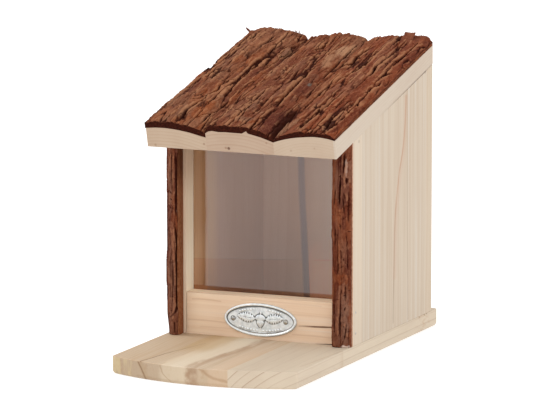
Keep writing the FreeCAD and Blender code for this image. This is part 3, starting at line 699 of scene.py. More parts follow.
# ------------------------------------------------------------------ bark
def bark_material(name, origin, axes, seed=0, gain=(1, 1, 1), side_tones=((112, 60, 38), (156, 96, 60)),
                  pale_tone=(206, 170, 126), across=0.29, fleck=None, left_side=None,
                  grey_tone=(148, 116, 98)):
    """axes: (across, along the grain, out). Vertex numbers: cav 0 deep to 1 high, pid one per flake, cut 1 on the
    sawn front and 2 on the sawn sides, deep in a crack, and warm, grey, dim and pale for the colour of the patches."""
    g = Graph(name)
    p = g.place()
    q = g.local(p, origin, *axes)
    cav, pid, cut, deep = g.attr("cav"), g.attr("pid"), g.attr("cut"), g.attr("deep")
    warm, grey, dim, pale = g.attr("warm"), g.attr("grey"), g.attr("dim"), g.attr("pale")

    def c(r, gg, b):
        v = srgb(r, gg, b)
        return (v[0] * gain[0], v[1] * gain[1], v[2] * gain[2], 1.0)

    tone = g.noise(g.stretch(q, (0.060, 0.015, 0.05), (seed, seed * 2, 0)), 1.0, 3.0, 0.55)
    tone2 = g.noise(g.stretch(q, (0.15, 0.050, 0.12), (0, seed, seed * 3)), 1.0, 3.0, 0.6)
    streak = g.noise(g.stretch(q, (across, 0.065, 0.3), (seed, 0, 0)), 1.0, 4.0, 0.62)
    fine = g.noise(g.stretch(q, (1.0, 0.24, 0.9), (0, seed, 0)), 1.0, 4.0, 0.65)
    grit = g.noise(g.stretch(q, (0.50, 0.36, 0.5), (0, 0, seed)), 1.0, 5.0, 0.78)
    scab = g.voronoi(g.stretch(q, (0.42, 0.13, 0.4), (seed, 0, 0)), 1.0, out="Color")
    scab = g.split(scab)[0]
    mixv = g.add(g.mul(pid, 0.36), g.add(g.mul(tone, 0.46), g.add(g.mul(tone2, 0.30), g.mul(scab, 0.13))))
    col = g.ramp(mixv, [(0.34, c(106, 58, 42)), (0.52, c(130, 76, 54)), (0.68, c(146, 94, 70)), (0.86, c(164, 118, 92))])
    col = g.mix(g.mul(warm, 0.85), col, c(158, 88, 50))
    col = g.mix(g.mul(grey, 0.80), col, c(*grey_tone))
    col = g.mix(g.mul(dim, 0.85), col, c(98, 50, 44))
    col = g.mix(g.range(streak, 0.50, 0.70, 0.0, 0.62), col, c(92, 44, 28))
    col = g.mix(g.range(streak, 0.48, 0.30, 0.0, 0.38), col, c(182, 132, 102))
    col = g.mix(g.range(fine, 0.50, 0.70, 0.0, 0.42), col, c(88, 42, 27))
    col = g.mix(g.range(grit, 0.52, 0.68, 0.0, 0.66), col, c(84, 40, 26))
    col = g.mix(g.range(grit, 0.46, 0.32, 0.0, 0.36), col, c(188, 144, 114))
    col = g.mix(g.mul(pale, 0.9), col, c(*pale_tone))
    if fleck is not None:
        qx, qs, _ = g.split(q)
        ring = g.math("SQRT", g.add(g.math("POWER", g.mul(g.sub(qx, fleck[0]), 0.42), 2.0), g.math("POWER", g.mul(g.sub(qs, fleck[1]), 0.24), 2.0)))
        ring = g.add(ring, g.mul(g.sub(grit, 0.5), 2.2))
        col = g.mix(g.mul(g.range(ring, 1.0, 0.5), 0.50), col, c(124, 142, 142))
        col = g.mix(g.range(qx, 33, 37), col, g.mix(1.0, col, (0.97, 0.87, 0.87, 1), "MULTIPLY"))
        col = g.mix(g.mul(g.range(qx, -33, -37), g.range(qs, 80, 45)), col, g.mix(1.0, col, (1.0, 1.07, 1.11, 1), "MULTIPLY"))
    # the high parts lighter, the hollows darker and the cracks near black: partly the bark's own colour, partly painted
    # highlight and painted shade
    col = g.mix(g.range(cav, 0.58, 0.92, 0.0, 0.50), col, c(200, 152, 118))
    col = g.mix(g.range(cav, 0.49, 0.14, 0.0, 0.84), col, c(78, 32, 16))
    col = g.mix(g.range(deep, 0.12, 0.80, 0.0, 0.94), col, c(56, 19, 8))
    lam = g.noise(g.stretch(q, (0.30, 0.30, 2.8), (0, seed, 0)), 1.0, 3.0, 0.6)
    sawn = g.mix(g.range(lam, 0.35, 0.70), c(50, 19, 12), c(82, 36, 22))
    sawn = g.mix(g.range(grit, 0.45, 0.62, 0.0, 0.8), sawn, c(30, 10, 6))
    side = g.mix(g.range(lam, 0.35, 0.70), c(*side_tones[0]), c(*side_tones[1]))
    side = g.mix(g.range(grit, 0.5, 0.8, 0.0, 0.5), side, c(84, 40, 26))
    if fleck is not None:
        side = g.mix(g.range(tone2, 0.42, 0.60, 0.0, 0.55), side, c(74, 34, 22))
        side = g.mix(g.range(streak, 0.46, 0.60, 0.0, 0.50), side, c(64, 28, 18))
    if left_side is not None:
        px, _, pz = g.split(p)
        # on the left strip the sawn side is darker and redder, and towards the top darker still: painted shade under
        # the lid
        darker_side = g.mix(1.0, side, left_side + (1.0,), "MULTIPLY")
        darker_side = g.mix(g.range(pz, 140, 176, 0.0, 0.60), darker_side, c(64, 28, 14))
        side = g.mix(g.range(px, 5, -5), side, darker_side)
    col = g.mix(g.range(cut, 0.35, 0.65), col, sawn)
    col = g.mix(g.range(cut, 1.35, 1.65), col, side)
    height = g.add(g.mul(streak, 0.7), g.add(g.mul(fine, 0.35), g.mul(grit, 0.5)))
    n = g.bump(height, 0.60, 0.0006)
    rough = g.range(grit, 0.3, 0.75, 0.74, 0.93, "LINEAR")
    g.principled(col, rough, n, Specular_IOR_Level=0.06)
    return g.mat


class Relief:
    """Bark relief in mm on a grid of x across and s along, with the numbers that its material reads."""

    def __init__(self, x, s, seed, front=None):
        self.x, self.s, self.seed = x, s, seed
        self.h = np.zeros(x.shape)
        self.deep = np.zeros(x.shape)
        self.tone = sat(0.5 + 0.5 * fbm(x / 7.0, s / 30.0, seed + 3, 3))
        self.maps = {k: np.zeros(x.shape) for k in ("warm", "grey", "dim", "pale")}
        self.front = np.ones(x.shape) if front is None else front
        self.rnd = np.random.default_rng(seed)

    def window(self, x0, x1, s0, s1):
        rows = np.nonzero((self.x.max(axis=1) >= x0) & (self.x.min(axis=1) <= x1))[0]
        cols = np.nonzero((self.s.max(axis=0) >= s0) & (self.s.min(axis=0) <= s1))[0]
        if len(rows) < 2 or len(cols) < 2:
            return None
        return slice(rows[0], rows[-1] + 1), slice(cols[0], cols[-1] + 1)

    def crack(self, w, d, path, seed, lip=0.45, rough=0.75):
        """Cuts a crack of half width w and depth d that tapers to its ends, with its edges curled up. A negative d is a ridge."""
        p = np.asarray(path, float)
        m = 3.0 * w + 3.0
        win = self.window(p[:, 0].min() - m, p[:, 0].max() + m, p[:, 1].min() - m, p[:, 1].max() + m)
        if win is None:
            return
        x, s = self.x[win], self.s[win]
        total = float(np.hypot(*np.diff(p, axis=0).T).sum())
        dist, along, side = to_path(x, s, p)
        tip = 2.5 * w + 0.10 * total
        taper = sat(along * total / tip + 0.12) * sat((1 - along) * total / tip + 0.12)
        ww = w * (0.40 + 0.60 * taper) * (1.0 + 0.30 * grad(along * total / 13.0, 0 * along + 0.3, seed))
        dd = d * taper * (1.0 + 0.25 * grad(along * total / 12.0, 0 * along + 7.3, seed + 1))
        torn = 0.55 * fbm(x / 1.3, s / 3.2, seed + 2, 2) + 0.45 * grad(x / 3.8, s / 10.0, seed + 6)
        q = np.maximum(dist + rough * torn * np.minimum(w, 1.3), 0) / np.maximum(ww, 0.2)
        cut = ease(1.30, 0.15, q) * self.front[win]
        self.h[win] -= cut * dd
        if d > 0:
            lean = 0.6 + 0.4 * side * np.sign(grad(0 * along + 0.2, along * total / 25.0, seed + 5))
            self.h[win] += lip * min(d, 2.0) / 2.0 * lean * taper * np.exp(-((q - 1.55) / 0.75) ** 2) * self.front[win]
            self.deep[win] = np.maximum(self.deep[win], cut * sat(dd / 2.2))

    def flake(self, cx, cs, a, b, skew, lift, tilt, seed, kind=None, power=0.7):
        """A plate of bark lying on top, or a hollow where one came off (lift below 0)."""
        m = 1.4
        win = self.window(cx - b * m - abs(skew) * a - 1, cx + b * m + abs(skew) * a + 1, cs - a * m, cs + a * m)
        if win is None:
            return
        x, s = self.x[win], self.s[win]
        u = (x - cx - skew * (s - cs)) / b
        v = (s - cs) / a
        q = np.abs(u) ** 2.6 + np.abs(v) ** 2.4 + 0.38 * fbm(x / 2.3, s / 6.0, seed, 2)
        soft = min(0.35, 0.45 / b)
        ins = ease(1.0 + soft, 1.0 - soft, q) * self.front[win]
        self.h[win] += ins * lift * (1.0 + tilt * np.clip(u, -1, 1))
        value = _hash(np.int64(seed), np.int64(3), 17)
        self.tone[win] = self.tone[win] * (1 - 0.75 * ins) + 0.75 * ins * value
        if kind is not None:
            self.maps[kind][win] = np.maximum(self.maps[kind][win], ins * power)

    def patch(self, kind, cx, cs, rx, rs, power, seed):
        """A patch of another colour with a torn outline."""
        win = self.window(cx - 1.6 * rx, cx + 1.6 * rx, cs - 1.6 * rs, cs + 1.6 * rs)
        if win is None:
            return
        x, s = self.x[win], self.s[win]
        q = np.hypot((x - cx) / rx, (s - cs) / rs) + 0.55 * fbm(x / 2.6, s / 8.0, seed, 3) + 0.22 * fbm(x / 0.9, s / 3.0, seed + 9, 2)
        if kind == "pale":
            q = q + 1.1 * np.abs(fbm(x / 2.1, s / 5.0, seed + 11, 3)) - 0.25
        into = self.deep if kind == "deep" else self.maps[kind]
        into[win] = np.maximum(into[win], ease(1.25, 0.45, q) * power * self.front[win])

    def tracks(self, spacing, box, wander=2.9, lengths=(26, 105), w=(0.6, 1.25), d=(1.5, 3.1), gap=(2, 9)):
        """Long cracks side by side along the grain, broken into lengths, with slanting ones between them."""
        r = self.rnd
        x0, x1, s0, s1 = box
        count = max(2, int((x1 - x0) / spacing))
        lines = []
        for k in range(count):
            base = x0 + (k + 0.5 + r.uniform(-0.25, 0.25)) * (x1 - x0) / count
            lines.append((base, self.seed + 900 + 11 * k))

        def at(k, s):
            base, sd = lines[k]
            return base + wander * float(grad(s / 70.0, 0.5, sd)) + 0.13 * wander * float(grad(s / 17.0, 2.5, sd + 1))

        for k in range(count):
            s = s0 - r.uniform(0, 30)
            while s < s1:
                length = r.uniform(*lengths)
                e = min(s + length, s1 + 4)
                pts = [(at(k, t), t) for t in np.linspace(s, e, max(3, int((e - s) / 6)))]
                self.crack(r.uniform(*w), r.uniform(*d), pts, int(r.integers(1 << 20)), lip=r.uniform(0.25, 0.8))
                if k + 1 < count and r.random() < 0.62:
                    q = e - r.uniform(0.1, 0.6) * length
                    q2 = q + r.uniform(14, 34)
                    xa, xb = at(k, q), at(k + 1, q2)
                    pts = [(xa + (xb - xa) * ease(0, 1, t) + r.normal(0, 0.25), q + (q2 - q) * t) for t in np.linspace(0, 1, 6)]
                    self.crack(r.uniform(*w) * 0.8, r.uniform(*d) * 0.7, pts, int(r.integers(1 << 20)), lip=r.uniform(0.2, 0.7))
                s = e + r.uniform(*gap)

    def scatter(self, box, flakes, hollows, splits, size=(5, 18)):
        r = self.rnd
        x0, x1, s0, s1 = box
        for k in range(flakes):
            a = r.uniform(*size)
            b = float(np.clip(a * r.uniform(0.18, 0.42), 1.4, 6.0))
            kind, power = (("warm", 0.55), ("grey", 0.5), (None, 0), (None, 0))[int(r.integers(4))]
            self.flake(r.uniform(x0, x1), r.uniform(s0, s1), a, b, r.normal(0, 0.06), r.uniform(0.2, 0.75),
                       r.uniform(-0.8, 0.8), int(r.integers(1 << 20)), kind, power)
        for k in range(hollows):
            a = r.uniform(size[0] * 0.6, size[1] * 0.8)
            b = float(np.clip(a * r.uniform(0.15, 0.32), 1.0, 3.4))
            kind, power = (("warm", 0.6), ("dim", 0.6), (None, 0))[int(r.integers(3))]
            self.flake(r.uniform(x0, x1), r.uniform(s0, s1), a, b, r.normal(0, 0.06), -r.uniform(0.2, 0.7), 0.0,
                       int(r.integers(1 << 20)), kind, power)
        for k in range(splits):
            cx, cs = r.uniform(x0, x1), r.uniform(s0, s1)
            ang = r.normal(0, 0.45)
            length = r.uniform(1.8, 5.5)
            dx, ds = math.cos(ang) * length / 2, math.sin(ang) * length / 2
            self.crack(r.uniform(0.35, 0.6), r.uniform(0.5, 1.2), [(cx - dx, cs - ds), (cx, cs + r.normal(0, 0.4)), (cx + dx, cs + ds)],
                       int(r.integers(1 << 20)), lip=0.15)

    def fibres(self, broad=1.3, stringy=0.34):
        x, s, sd = self.x, self.s, self.seed
        wx = x + 2.4 * fbm(x / 30.0, s / 80.0, sd + 31, 2) + 0.3 * fbm(x / 7.0, s / 30.0, sd + 30, 2)
        self.h += broad * fbm(x / 19.0, s / 75.0, sd + 32, 3)
        self.h += stringy * fbm(wx / 3.3, s / 22.0, sd + 33, 3) + 1.1 * stringy * grad(wx / 7.0, s / 46.0, sd + 34)
        self.h += 0.17 * fbm(wx / 1.9, s / 3.8, sd + 35, 3)
        # scales of bark, each a little higher or lower and darker or lighter than the next
        bend = 0.7 * fbm(x / 9.0, s / 22.0, sd + 36, 2)
        for k, (cx, cs, lift, part) in enumerate(((8.5, 40.0, 0.55, 0.55), (4.6, 15.0, 0.34, 0.40))):
            edge, pick, ox, os = cells((wx + bend) / cx, (s + 3.0 * bend) / cs, sd + 60 + k)
            shown = ease(-0.30, 0.15, fbm(x / (2.5 * cx), s / (1.5 * cs), sd + 64 + k, 2))
            torn = edge * cx + 0.35 * fbm(x / 1.2, s / 3.0, sd + 66 + k, 2)
            self.h += lift * shown * (pick - 0.5 + 0.5 * ox * (pick - 0.35)) * 1.6
            self.h -= 0.55 * lift * shown * ease(0.85, 0.10, torn)
            self.tone = self.tone * (1 - part * shown) + part * shown * pick
        # where a stretched noise crosses zero a long thin crack runs, which forks and joins others
        for k, (px, ps, thin, depth) in enumerate(((12.5, 120.0, 0.070, 1.7), (7.6, 64.0, 0.065, 0.85), (4.6, 30.0, 0.06, 0.30))):
            n = fbm(wx / px, s / ps, sd + 40 + k, 2) + 0.06 * fbm(x / 1.5, s / 5.0, sd + 44 + k, 2)
            where = ease(-0.25, 0.20, fbm(x / (2.2 * px), s / (0.6 * ps), sd + 47 + k, 2))
            line = np.exp(-(n / thin) ** 2) * where
            self.h -= depth * line
            self.deep = np.maximum(self.deep, line * min(1.0, 0.30 + 0.42 * depth))

    def cavity(self, near=(5, 4), span=3.0):
        base = blur(self.h, *near)
        return sat(0.5 + (self.h - base) / span)


def lerp_profile(front, rear, x, s):
    """Thickness at (x, s) on a ruled surface between two (x, thickness) lists."""
    front, rear = np.array(front, float), np.array(rear, float)
    k = (s / REAR_S)[..., None]
    xs = front[:, 0] * (1 - k) + rear[:, 0] * k
    ts = front[:, 1] * (1 - k) + rear[:, 1] * k
    out = np.zeros(np.broadcast(x, s).shape)
    for i in range(len(front) - 1):
        x0, x1 = xs[..., i], xs[..., i + 1]
        t = sat((x - x0) / (x1 - x0))
        out = np.where((x >= x0 - 1e-9), ts[..., i] * (1 - t) + ts[..., i + 1] * t, out)
    return out


SLABS = {
    "left": dict(
        wf=[(-92, 17.9), (-83, 18.8), (-73, 19.0), (-65, 18.4), (-58.4, 17.6), (-49, 16.0), (-39.5, 13.6), (-34, 12.4)],
        bf=[(-92, 23.6), (-83, 25.0), (-73, 25.4), (-65, 24.9), (-58.4, 24.0), (-49, 21.9), (-39.5, 18.6), (-34, 16.4)],
        wr=[(-92, 15.5), (-83, 17.0), (-73, 17.6), (-65, 17.4), (-58.4, 17.0), (-49, 15.3), (-39.5, 12.9), (-34, 11.6)],
        br=[(-92, 19.4), (-83, 22.0), (-73, 23.4), (-65, 23.1), (-58.4, 22.6), (-49, 21.3), (-39.5, 18.4), (-34, 16.2)]),
    "middle": dict(
        wf=[(-34, 16.6), (-31, 18.4), (-27.5, 19.2), (-21, 18.5), (-14.6, 18.8), (-6, 18.7), (1.5, 18.6), (5.8, 21.0),
            (7.4, 18.9), (19, 16.2), (25, 14.2), (31, 12.1)],
        bf=[(-34, 22.0), (-31, 24.8), (-27.5, 25.4), (-21, 25.3), (-14.6, 25.0), (-6, 24.7), (1.5, 24.4), (5.8, 24.2),
            (7.4, 23.9), (19, 21.6), (25, 19.6), (31, 16.6)],
        wr=[(-34, 13.0), (-31, 14.0), (-27.5, 15.0), (-21, 15.9), (-14.6, 16.4), (-6, 16.7), (0, 16.7), (4, 16.6),
            (6.5, 16.5), (16, 15.3), (21, 14.0), (26, 12.0)],
        br=[(-34, 16.6), (-31, 17.6), (-27.5, 18.4), (-21, 19.6), (-14.6, 20.6), (-6, 21.3), (0, 21.5), (4, 21.5),
            (6.5, 21.4), (16, 21.0), (21, 19.8), (26, 17.4)]),
    "right": dict(
        wf=[(31, 12.1), (37, 14.2), (43, 15.9), (49, 17.3), (55, 18.3), (63, 19.3), (70, 19.9), (77, 19.7), (84, 18.8), (90.5, 17.3)],
        bf=[(31, 16.2), (37, 17.6), (43, 19.8), (49, 21.8), (55, 23.2), (63, 23.9), (70, 24.1), (77, 24.0), (84, 22.6), (90.5, 20.4)],
        wr=[(26, 12.0), (32, 14.0), (38.5, 15.3), (45, 16.2), (52, 17.0), (60, 17.8), (67.5, 18.0), (75, 17.8), (82, 17.3), (89.1, 16.6)],
        br=[(26, 17.0), (32, 20.0), (38.5, 21.3), (45, 22.1), (52, 22.9), (60, 23.9), (67.5, 24.6), (75, 24.4), (82, 24.0), (89.1, 21.8)]),
}

# the main cracks of each slab: (half width, depth, path of (x, s))
CRACKS = {
    "left": [
        (1.3, 3.0, [(-61.9, 3.4), (-63.3, 19.1), (-64.2, 26.8), (-64.0, 35.3), (-63.2, 48.1), (-60.2, 59.8), (-59.4, 72.7), (-57.2, 82.5), (-60.4, 95.4), (-60.1, 103.1)]),
        (0.8, 1.6, [(-72.0, 53.3), (-64.6, 58.7), (-60.2, 59.8)]),
        (0.9, 2.0, [(-76.0, 61.3), (-74.9, 70.9), (-74.6, 87.7)]),
        (0.9, 2.0, [(-81.5, 109.6), (-81.0, 123.5), (-78.8, 134.3)]),
        (1.2, 2.6, [(-91.0, 133.8), (-91.3, 152.5), (-89.5, 165.5), (-89.6, 178.9), (-87.0, 188.5), (-85.2, 199.9), (-82.3, 208.7), (-80.6, 220.5), (-79.6, 231.6)]),
        (1.3, 3.0, [(-48.1, 71.4), (-47.9, 84.0), (-49.1, 96.3), (-50.3, 112.1), (-50.4, 123.6), (-50.9, 138.3), (-49.6, 148.5), (-49.7, 162.2), (-49.2, 168.9), (-47.8, 178.9), (-46.0, 186.1)]),
        (1.0, 2.2, [(-63.6, 185.4), (-63.4, 196.5), (-61.9, 212.3), (-61.7, 223.5)]),
        (0.8, 1.6, [(-45.2, 172.7), (-46.1, 184.7)]),
        (1.0, 2.2, [(-42.8, 10.4), (-43.9, 25.6), (-43.6, 38.0)]),
        (1.0, 2.2, [(-40.6, 180.3), (-41.0, 192.8), (-39.6, 205.8), (-37.2, 216.4)]),
    ],
    "middle": [
        (2.0, 2.2, [(-25.4, 38.0), (-17.8, 35.4), (-9.8, 33.1)]),
        (0.8, 1.2, [(-9.3, 6.4), (-6.1, 10.9)]),
        (1.0, 2.0, [(-26.4, 63.4), (-21.2, 64.8), (-13.0, 62.7)]),
        (0.8, 1.2, [(-13.3, 52.1), (-7.3, 53.3)]),
        (0.9, 1.8, [(-4.0, 26.6), (-2.7, 33.7), (-0.2, 38.3), (0.2, 46.2)]),
        (1.2, 2.2, [(-22.1, 96.5), (-15.7, 99.0), (-11.9, 101.5)]),
        (1.0, 2.0, [(-18.1, 114.1), (-16.4, 125.2), (-15.8, 129.7)]),
        (1.2, 2.4, [(-20.5, 138.5), (-13.9, 137.1), (-16.3, 145.0), (-12.1, 149.1), (-12.8, 154.3)]),
        (1.7, 4.0, [(10.4, 55.0), (9.4, 69.8), (9.6, 81.5), (9.2, 91.1), (9.2, 103.5), (8.1, 115.4), (7.8, 125.5), (6.9, 139.2), (7.9, 147.4)]),
        (0.8, 1.6, [(-19.4, 170.7), (-20.1, 181.6)]),
        (1.3, 3.0, [(-12.9, 193.0), (-10.1, 198.3), (-6.8, 202.3), (-5.2, 210.4), (-4.1, 218.5)]),
        (0.8, 1.4, [(0.8, 205.6), (2.4, 211.2), (4.6, 213.0)]),
        (1.1, 2.0, [(-2.5, 170.9), (-3.3, 177.4), (0.4, 174.4)]),
        (0.9, 1.8, [(0.7, 137.5), (0.4, 145.2), (-0.4, 154.2), (-0.7, 162.0)]),
        (1.0, 1.8, [(20.2, 149.1), (23.4, 151.8)]),
        (1.0, 1.6, [(25.1, 133.3), (27.0, 132.2)]),
    ],
    "right": [
        (1.5, 3.0, [(29.1, 156.6), (29.8, 168.1), (34.0, 172.6), (35.4, 178.8), (33.5, 190.7), (35.2, 198.6), (36.9, 206.5), (38.1, 213.5)]),
        (1.3, 3.0, [(37.9, 116.0), (41.6, 121.4), (41.8, 130.3), (44.7, 135.3), (46.5, 142.8), (49.2, 148.3), (49.6, 154.5), (50.0, 160.6), (51.5, 166.5), (53.0, 172.5), (53.4, 181.3), (53.6, 186.9)]),
        (1.6, 3.5, [(53.2, 2.0), (54.3, 8.6), (52.9, 18.6), (56.0, 27.4), (56.8, 36.9), (56.5, 48.9), (58.4, 58.4), (57.7, 66.9), (57.5, 76.7), (59.2, 84.3), (59.7, 92.3), (61.2, 97.0)]),
        (1.6, 3.5, [(67.0, 128.9), (68.9, 136.4), (69.2, 143.9), (67.0, 152.9), (68.5, 161.2), (67.9, 169.9), (68.8, 177.5), (69.6, 185.2), (69.2, 193.5), (68.9, 200.2)]),
        (1.5, 2.6, [(60.2, 210.7), (60.0, 221.0), (59.3, 230.0), (59.8, 235.1)]),
        (1.5, 2.8, [(72.4, 209.9), (72.3, 217.5), (71.3, 224.9), (70.5, 233.0)]),
        (1.4, 2.8, [(78.1, 92.3), (81.2, 101.2), (80.6, 109.9), (82.7, 114.1), (84.1, 120.1), (84.0, 127.4)]),
        (1.3, 2.4, [(80.5, 131.4), (81.7, 138.0), (82.9, 144.7), (85.6, 149.9)]),
        (1.0, 1.8, [(81.3, 136.6), (80.8, 147.5), (80.3, 158.4)]),
        (1.8, 3.0, [(70.6, 70.7), (73.7, 75.0), (77.5, 78.6)]),
        (1.5, 3.0, [(78.3, 6.1), (77.4, 15.0), (75.6, 26.3), (74.6, 35.6), (76.3, 43.1), (76.6, 51.6), (76.9, 60.1), (77.6, 67.8), (79.1, 73.4)]),
        (0.9, 1.5, [(86.1, 64.1), (83.7, 72.5), (82.2, 79.9)]),
        (1.1, 2.0, [(38.8, 55.7), (44.3, 56.8), (46.8, 60.3), (48.0, 64.5)]),
        (0.9, 1.6, [(66.4, 15.3), (72.3, 13.7), (73.8, 19.3)]),
        (1.0, 1.8, [(85.5, 167.1), (91.0, 170.0)]),
        (1.0, 1.8, [(85.1, 172.9), (85.7, 181.0), (85.7, 188.5)]),
        (1.0, 1.8, [(83.4, 211.5), (86.2, 216.7), (87.9, 224.7)]),
        (0.8, 1.2, [(55.0, 203.9), (60.9, 201.7)]),
        (0.7, 1.2, [(80.3, 33.4), (79.3, 49.5), (79.6, 60.5)]),
        (0.9, 1.6, [(32.7, 88.2), (36.7, 95.2), (40.6, 102.6), (43.5, 109.7)]),
    ],
}

# colour patches of each slab: (kind, x, s, half size across, half size along, strength)
PATCHES = {
    "left": [("grey", -78, 30, 14, 50, 0.30), ("warm", -83.2, 17.8, 7, 17, 0.9), ("warm", -51.7, 38.6, 7, 20, 0.9), ("grey", -37.2, 190.6, 2.2, 12, 1.0),
             ("warm", -60.6, 195, 17, 30, 0.5), ("grey", -72, 120, 9, 26, 0.45), ("warm", -70, 160, 6, 22, 0.5),
             ("grey", -62, 208, 22, 40, 0.42), ("grey", -84, 196, 6, 40, 0.35), ("grey", -86, 80, 5, 26, 0.5), ("dim", -37, 30, 3.0, 40, 0.6), ("dim", -36, 168, 2.4, 30, 0.8)],
    # the first three patches of the middle slab paint shade on its flank in the valley next to the right slab
    "middle": [("dim", 22, 24, 11, 38, 1.0), ("deep", 29.5, 28, 5.4, 44, 1.0), ("deep", 25, 42, 5, 26, 0.45), ("dim", 18.5, 102, 9, 20, 0.75), ("warm", 15.5, 125.4, 7, 12, 0.8),
               ("warm", 7.9, 16.2, 4.5, 10, 0.95), ("warm", -27.3, 117.6, 3.5, 8, 0.8), ("grey", -1.5, 17.8, 9, 5, 0.9),
               ("grey", -7.2, 49.0, 4, 15, 0.9), ("grey", 16.1, 197.1, 7, 13, 0.7), ("pale", 16.8, 199, 6.5, 13, 0.66), ("pale", 12.5, 178, 5.0, 12, 0.50),
               ("pale", 21, 207, 3.2, 7, 0.55), ("grey", 22.4, 179.3, 3, 5, 0.9), ("warm", 17.7, 164.8, 6, 12, 0.35),
               ("pale", 15.0, 163.0, 4.4, 10, 0.50), ("grey", -7.5, 154.6, 6, 20, 0.55), ("pale", 6.1, 34.9, 1.3, 2.6, 0.55),
               ("dim", -20, 15, 9, 14, 0.4), ("warm", -6, 215, 12, 20, 0.35), ("grey", -12, 80, 9, 16, 0.5),
               ("dim", 2, 176, 6, 12, 0.35), ("dim", 0, 110, 34, 140, 0.50), ("warm", 0, 110, 34, 140, 0.25), ("grey", 2.5, 92, 4.5, 26, 0.45)],
    "right": [("dim", 62, 110, 36, 150, 0.30), ("warm", 62, 130, 36, 140, 0.42), ("warm", 63.1, 70.2, 6.5, 22, 0.95), ("warm", 88.5, 23.3, 2.6, 20, 0.9), ("warm", 64.7, 34.2, 5, 12, 0.85),
              ("grey", 77.8, 17.0, 3.5, 11, 1.0), ("grey", 80.2, 38.1, 4, 13, 0.75), ("dim", 83.7, 76, 4.5, 10, 0.5),
              ("warm", 84.5, 70.0, 2.5, 6, 0.7), ("warm", 42.6, 42.4, 4.0, 10, 0.8), ("grey", 45, 68, 4, 20, 0.55),
              # the dim patch at x 33 and the deep patch at x 32.2 paint shade in the same valley
              ("warm", 41, 95, 3.5, 24, 0.6), ("dim", 33, 20, 3, 40, 0.8), ("warm", 34, 90, 3.5, 30, 0.35), ("deep", 32.2, 34, 3.4, 36, 0.95), ("dim", 86, 190, 5, 30, 0.6), ("dim", 76, 60, 5, 14, 0.6),
              ("grey", 61, 120, 5, 26, 0.45), ("dim", 74, 200, 6, 20, 0.5), ("dim", 60, 228, 5, 9, 0.55),
              ("warm", 45, 205, 8, 25, 0.4), ("warm", 86, 140, 3, 40, 0.45), ("grey", 52, 150, 4, 24, 0.35),
              ("dim", 66, 160, 6, 26, 0.35)],
}
FLAKES = {
    # (x, s, half length, half width, skew, lift, tilt, kind, strength)
    "left": [(-37.6, 191, 14, 2.6, 0.05, 1.7, 0.2, "grey", 0.9), (-83, 18, 17, 6.0, 0.0, 0.5, -0.2, "warm", 0.7),
             (-52, 38, 20, 6.0, 0.03, 0.6, 0.2, "warm", 0.7), (-70, 150, 24, 6.5, 0.02, 0.7, 0.2, None, 0),
             (-86, 60, 22, 4.5, 0.0, 0.7, -0.4, "grey", 0.5)],
    "middle": [(-8, 48, 16, 3.4, 0.14, 1.1, 0.0, "grey", 0.7), (-2, 17, 5.5, 9.0, 0.3, 0.6, 0.0, "grey", 0.6),
               (18, 103, 20, 8.5, 0.0, 0.6, 0.3, "dim", 0.5), (2.0, 92, 26, 5.0, 0.02, 0.9, 0.3, None, 0),
               (-18, 140, 10, 7.0, 0.1, 0.8, 0.0, None, 0), (-8, 155, 22, 5.5, 0.05, 0.6, 0.1, "grey", 0.3)],
    "right": [(63, 68, 24, 6.0, 0.03, 0.9, 0.2, "warm", 0.8), (77.6, 17, 12, 3.6, -0.03, 1.0, -0.2, "grey", 0.9),
              (46, 60, 26, 3.4, 0.10, 1.3, 0.2, "warm", 0.3), (63, 150, 30, 5.4, 0.02, 0.8, 0.3, None, 0),
              (46, 170, 28, 4.6, 0.07, 0.9, 0.2, None, 0), (60, 115, 24, 5.6, 0.02, 0.7, 0.3, "grey", 0.3),
              (38, 145, 24, 3.6, 0.06, 0.9, 0.2, None, 0), (76, 165, 34, 5.0, 0.0, 0.8, 0.2, "dim", 0.3),
              (66, 30, 14, 5.5, 0.0, 0.6, 0.2, "warm", 0.6)],
}


